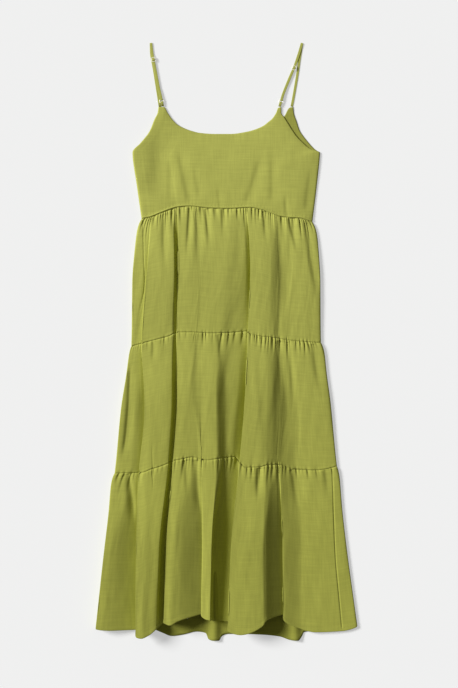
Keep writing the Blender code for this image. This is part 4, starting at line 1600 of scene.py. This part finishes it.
def half_turn(centre: Array, outward: Array, radius: float, middle: float, downwards: bool
              ) -> Array:
    """Points of a half turn in an upright plane.

    Args:
        centre: Where it turns, in plan.
        outward: The way it bulges, in plan.
        radius: Its radius.
        middle: The height of its axis.
        downwards: Whether it starts above its axis.

    Returns:
        Its points, without its two ends.
    """
    angle = np.linspace(0.0, np.pi, 9)[1:-1]
    rise = radius * np.cos(angle) * (1 if downwards else -1)
    return raised(centre + np.outer(radius * np.sin(angle), outward), middle + rise)


def rounded(half: tuple[float, float], corner: float) -> Array:
    """Points round a level rectangle with round corners.

    Args:
        half: Half its width and half its length.
        corner: The radius of its corners.

    Returns:
        Plan points.
    """
    steps = 6
    quarter = np.repeat(np.arange(4), steps)
    angle = np.pi / 2 * (quarter + np.tile(np.linspace(0.0, 1.0, steps), 4))
    ways = np.array(((1, 1), (-1, 1), (-1, -1), (1, -1)))[quarter]
    turn = np.column_stack((np.cos(angle), np.sin(angle)))
    return ways * (np.array(half) - corner) + corner * turn


def placed(outline: Array, centre: Array, way: Array, height: float) -> Array:
    """Turns a level outline so that its up side points a given way, and lifts it.

    Args:
        outline: Plan points round the origin.
        centre: Where the origin goes.
        way: The way its up side points.
        height: How high it lies.

    Returns:
        Its points.
    """
    ahead = unit(way)
    side = np.array((ahead[1], -ahead[0]))
    return raised(centre + outline[:, :1] * side + outline[:, 1:] * ahead, height)


@dataclass(frozen=True)
class Strap:
    """One strap with its slider, ring and loop."""

    side: Side
    front: Path
    back: Path
    slider_at: float
    ring_half: tuple[float, float] = (4.0, 2.5)
    ring_corner: float = 0.9
    wire: float = 1.6             # its thickness
    loop_length: float = 9.0
    slider_half: tuple[float, float] = (3.8, 4.2)
    slider_corner: float = 1.0
    bar: tuple[float, float] = (1.0, 0.9)     # width and thickness of the slider's bars

    def route(self) -> Array:
        """Works out the strap's middle line, from its turned-back end to the back bodice.

        Returns:
            Its points.
        """
        front = np.array(self.front)
        length = distances(front)[-1]
        at_slider, near = self.slider_at / length, self.slider_half[1] / length
        steps, climb = np.transpose(BAR_CLIMB)
        through = raised(along(front, at_slider + near * steps),
                         MIDDLE_RUN + climb * (OVER_BAR - MIDDLE_RUN))
        shares, rises = np.transpose(RING_CLIMB)
        past = np.append(at_slider + near * BAR_END,
                         np.linspace(at_slider + near * BAR_REST, 1.0, 9))
        return np.vstack((
            raised(along(front, np.linspace(at_slider, 0.0, 7)), LOWER_RUN),
            half_turn(front[0], unit(front[0] - front[1]), HAIRPIN, WIRE_HEIGHT,
                      downwards=False),
            raised(along(front, shares), rises),
            through,
            raised(along(front, past), LOWER_RUN),
            half_turn(front[-1], unit(front[-1] - front[-2]), SHOULDER_TURN,
                      BACK_RUN + SHOULDER_TURN, downwards=True),
            raised(along(self.back, np.linspace(0.0, 1.0, 15)), BACK_RUN),
        ))

    def build(self, finishes: Finishes) -> None:
        """Makes the strap, its slider, ring and loop.

        Args:
            finishes: The shared materials.
        """
        name = f"strap_{self.side.value}"
        route = self.route()
        band = oval(STRAP_WIDTH, STRAP_WALL, count=14, squareness=5.0)
        swept_piece(name, "band", Slot.STRAP, finishes.strap, (route, band, False))
        log.info("%s: %.0f mm long", name, distances(route)[-1])

        front = np.array(self.front)
        stops = np.array((self.slider_at, self.slider_at + 4.0)) / distances(front)[-1]
        centre, ahead = along(front, stops)
        self.build_slider(centre, ahead - centre, finishes)
        self.build_ring(front[0], unit(front[0] - front[1]), band, finishes)

    def build_slider(self, centre: Array, way: Array, finishes: Finishes) -> None:
        """Makes the slider, a frame with a middle bar.

        Args:
            centre: Its middle, in plan.
            way: The way the strap runs through it.
            finishes: The shared materials.
        """
        section = oval(*self.bar, count=10, squareness=2.6)
        half = self.slider_half[0]
        outline, bar = (placed(shape, centre, way, SLIDER_HEIGHT) for shape in (
            rounded(self.slider_half, self.slider_corner), np.array(((-half, 0.0), (half, 0.0)))))
        swept_piece(f"slider_{self.side.value}", "frame", Slot.FITTING, finishes.enamel,
                    (outline, section, True), (bar, section, False))

    def build_ring(self, near: Array, outward: Array, band: Array, finishes: Finishes) -> None:
        """Makes the ring at the strap's low end, and the cloth loop that sews it on.

        Args:
            near: The middle of its near bar, in plan.
            outward: The way the strap points there.
            band: Points round the loop's section.
            finishes: The shared materials.
        """
        middle = near + outward * self.ring_half[1]
        outline = placed(rounded(self.ring_half, self.ring_corner), middle, -outward, WIRE_HEIGHT)
        section = oval(self.wire, self.wire, count=10, squareness=2.0)
        swept_piece(f"ring_{self.side.value}", "wire", Slot.FITTING, finishes.enamel,
                    (outline, section, True))

        low_bar = middle + outward * self.ring_half[1]
        foot = low_bar + outward * self.loop_length
        path = np.vstack((
            (*foot, MIDDLE_RUN + 0.7), (*low_bar, WIRE_HEIGHT + HAIRPIN),
            half_turn(low_bar, -outward, HAIRPIN, WIRE_HEIGHT, downwards=True),
            (*low_bar, LOWER_RUN), (*foot, LOWER_RUN + 0.6)))
        swept_piece(f"strap_loop_{self.side.value}", "band", Slot.STRAP, finishes.strap,
                    (path, band, False))


STRAPS = (
    Strap(Side.LEFT,
          front=((-136.6, 508.0), (-138.6, 518.0), (-142.0, 531.0), (-145.5, 550.0),
                 (-149.5, 569.0), (-152.5, 588.0), (-156.0, 606.0), (-158.5, 626.4)),
          back=((-158.5, 626.4), (-158.0, 606.0), (-155.0, 588.0), (-151.5, 569.0),
                (-148.5, 550.0), (-145.5, 531.0), (-142.5, 512.0), (-139.5, 491.8)),
          slider_at=86.0),
    Strap(Side.RIGHT,
          front=((115.3, 507.0), (118.5, 518.0), (125.0, 535.0), (133.5, 556.0),
                 (142.0, 575.0), (148.0, 592.0), (152.5, 606.0), (158.5, 626.4)),
          back=((158.5, 626.4), (155.5, 607.0), (153.0, 591.5), (150.0, 568.5),
                (147.0, 549.5), (143.8, 531.0), (140.5, 512.0), (137.0, 493.6)),
          slider_at=73.0),
)


# ---------------------------------------------------------------- studio

@dataclass(frozen=True)
class Lamp:
    """A far soft lamp: degrees round from +X, degrees up, power and spread in degrees."""

    name: str
    round_from_x: float
    up: float
    power: float
    spread: float

    def build(self, scene: bpy.types.Scene) -> None:
        """Adds the lamp to a scene.

        Args:
            scene: The scene.
        """
        light = bpy.data.lights.new(self.name, "SUN")
        light.energy = self.power
        light.angle = math.radians(self.spread)
        lamp = bpy.data.objects.new(self.name, light)
        azimuth, rise = math.radians(self.round_from_x), math.radians(self.up)
        source = Vector((math.cos(azimuth) * math.cos(rise), math.sin(azimuth) * math.cos(rise),
                         math.sin(rise)))
        lamp.rotation_mode = "QUATERNION"
        lamp.rotation_quaternion = source.to_track_quat("Z", "Y")
        scene.collection.objects.link(lamp)


@dataclass(frozen=True)
class Studio:
    """Pale floor, soft light from the upper left and a camera straight above, in metres."""

    floor_size: float = 16.0
    floor_drop: float = 0.0002          # how far the floor lies below the dress
    camera_height: float = 6.0
    lens: float = 149.5                 # millimetres
    centre: tuple[float, float] = (0.00525, -0.0047)
    lamp: Lamp = Lamp("soft_key", 160.0, 31.0, 5.4, 20.0)
    sky: float = 0.195
    sky_tint: Colour = (1.0, 0.99, 0.74, 1.0)

    def build(self, finishes: Finishes) -> None:
        """Makes the floor, the light and the camera.

        Args:
            finishes: The shared materials.
        """
        scene = bpy.context.scene
        bm = bmesh.new()
        bmesh.ops.create_grid(bm, x_segments=2, y_segments=2, size=self.floor_size / 2)
        bmesh.ops.translate(bm, vec=(0.0, 0.0, -self.floor_drop), verts=bm.verts)
        new_object("pale_floor", bm, finishes.floor)
        self.lamp.build(scene)

        world = bpy.data.worlds.new("studio")
        world.use_nodes = True
        feed(world.node_tree, world.node_tree.nodes["Background"],
             {"Color": self.sky_tint, "Strength": self.sky})
        scene.world = world
        scene.view_settings.view_transform = "Standard"

        data = bpy.data.cameras.new("camera")
        data.lens = self.lens
        data.sensor_width = 36.0
        data.clip_end = 100.0
        camera = bpy.data.objects.new("camera", data)
        camera.location = (*self.centre, self.camera_height)
        scene.collection.objects.link(camera)
        scene.camera = camera


def main() -> None:
    """Builds the dress and its studio."""
    logging.basicConfig(level=logging.INFO, format="%(name)s: %(message)s")
    log.info("frame with %d solids", len(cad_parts))
    finishes = Finishes.make()
    skirt = Skirt().build(finishes)
    Bodice(skirt).build(finishes)
    for strap in STRAPS:
        strap.build(finishes)
    Studio().build(finishes)


if __name__ == "__main__":
    main()
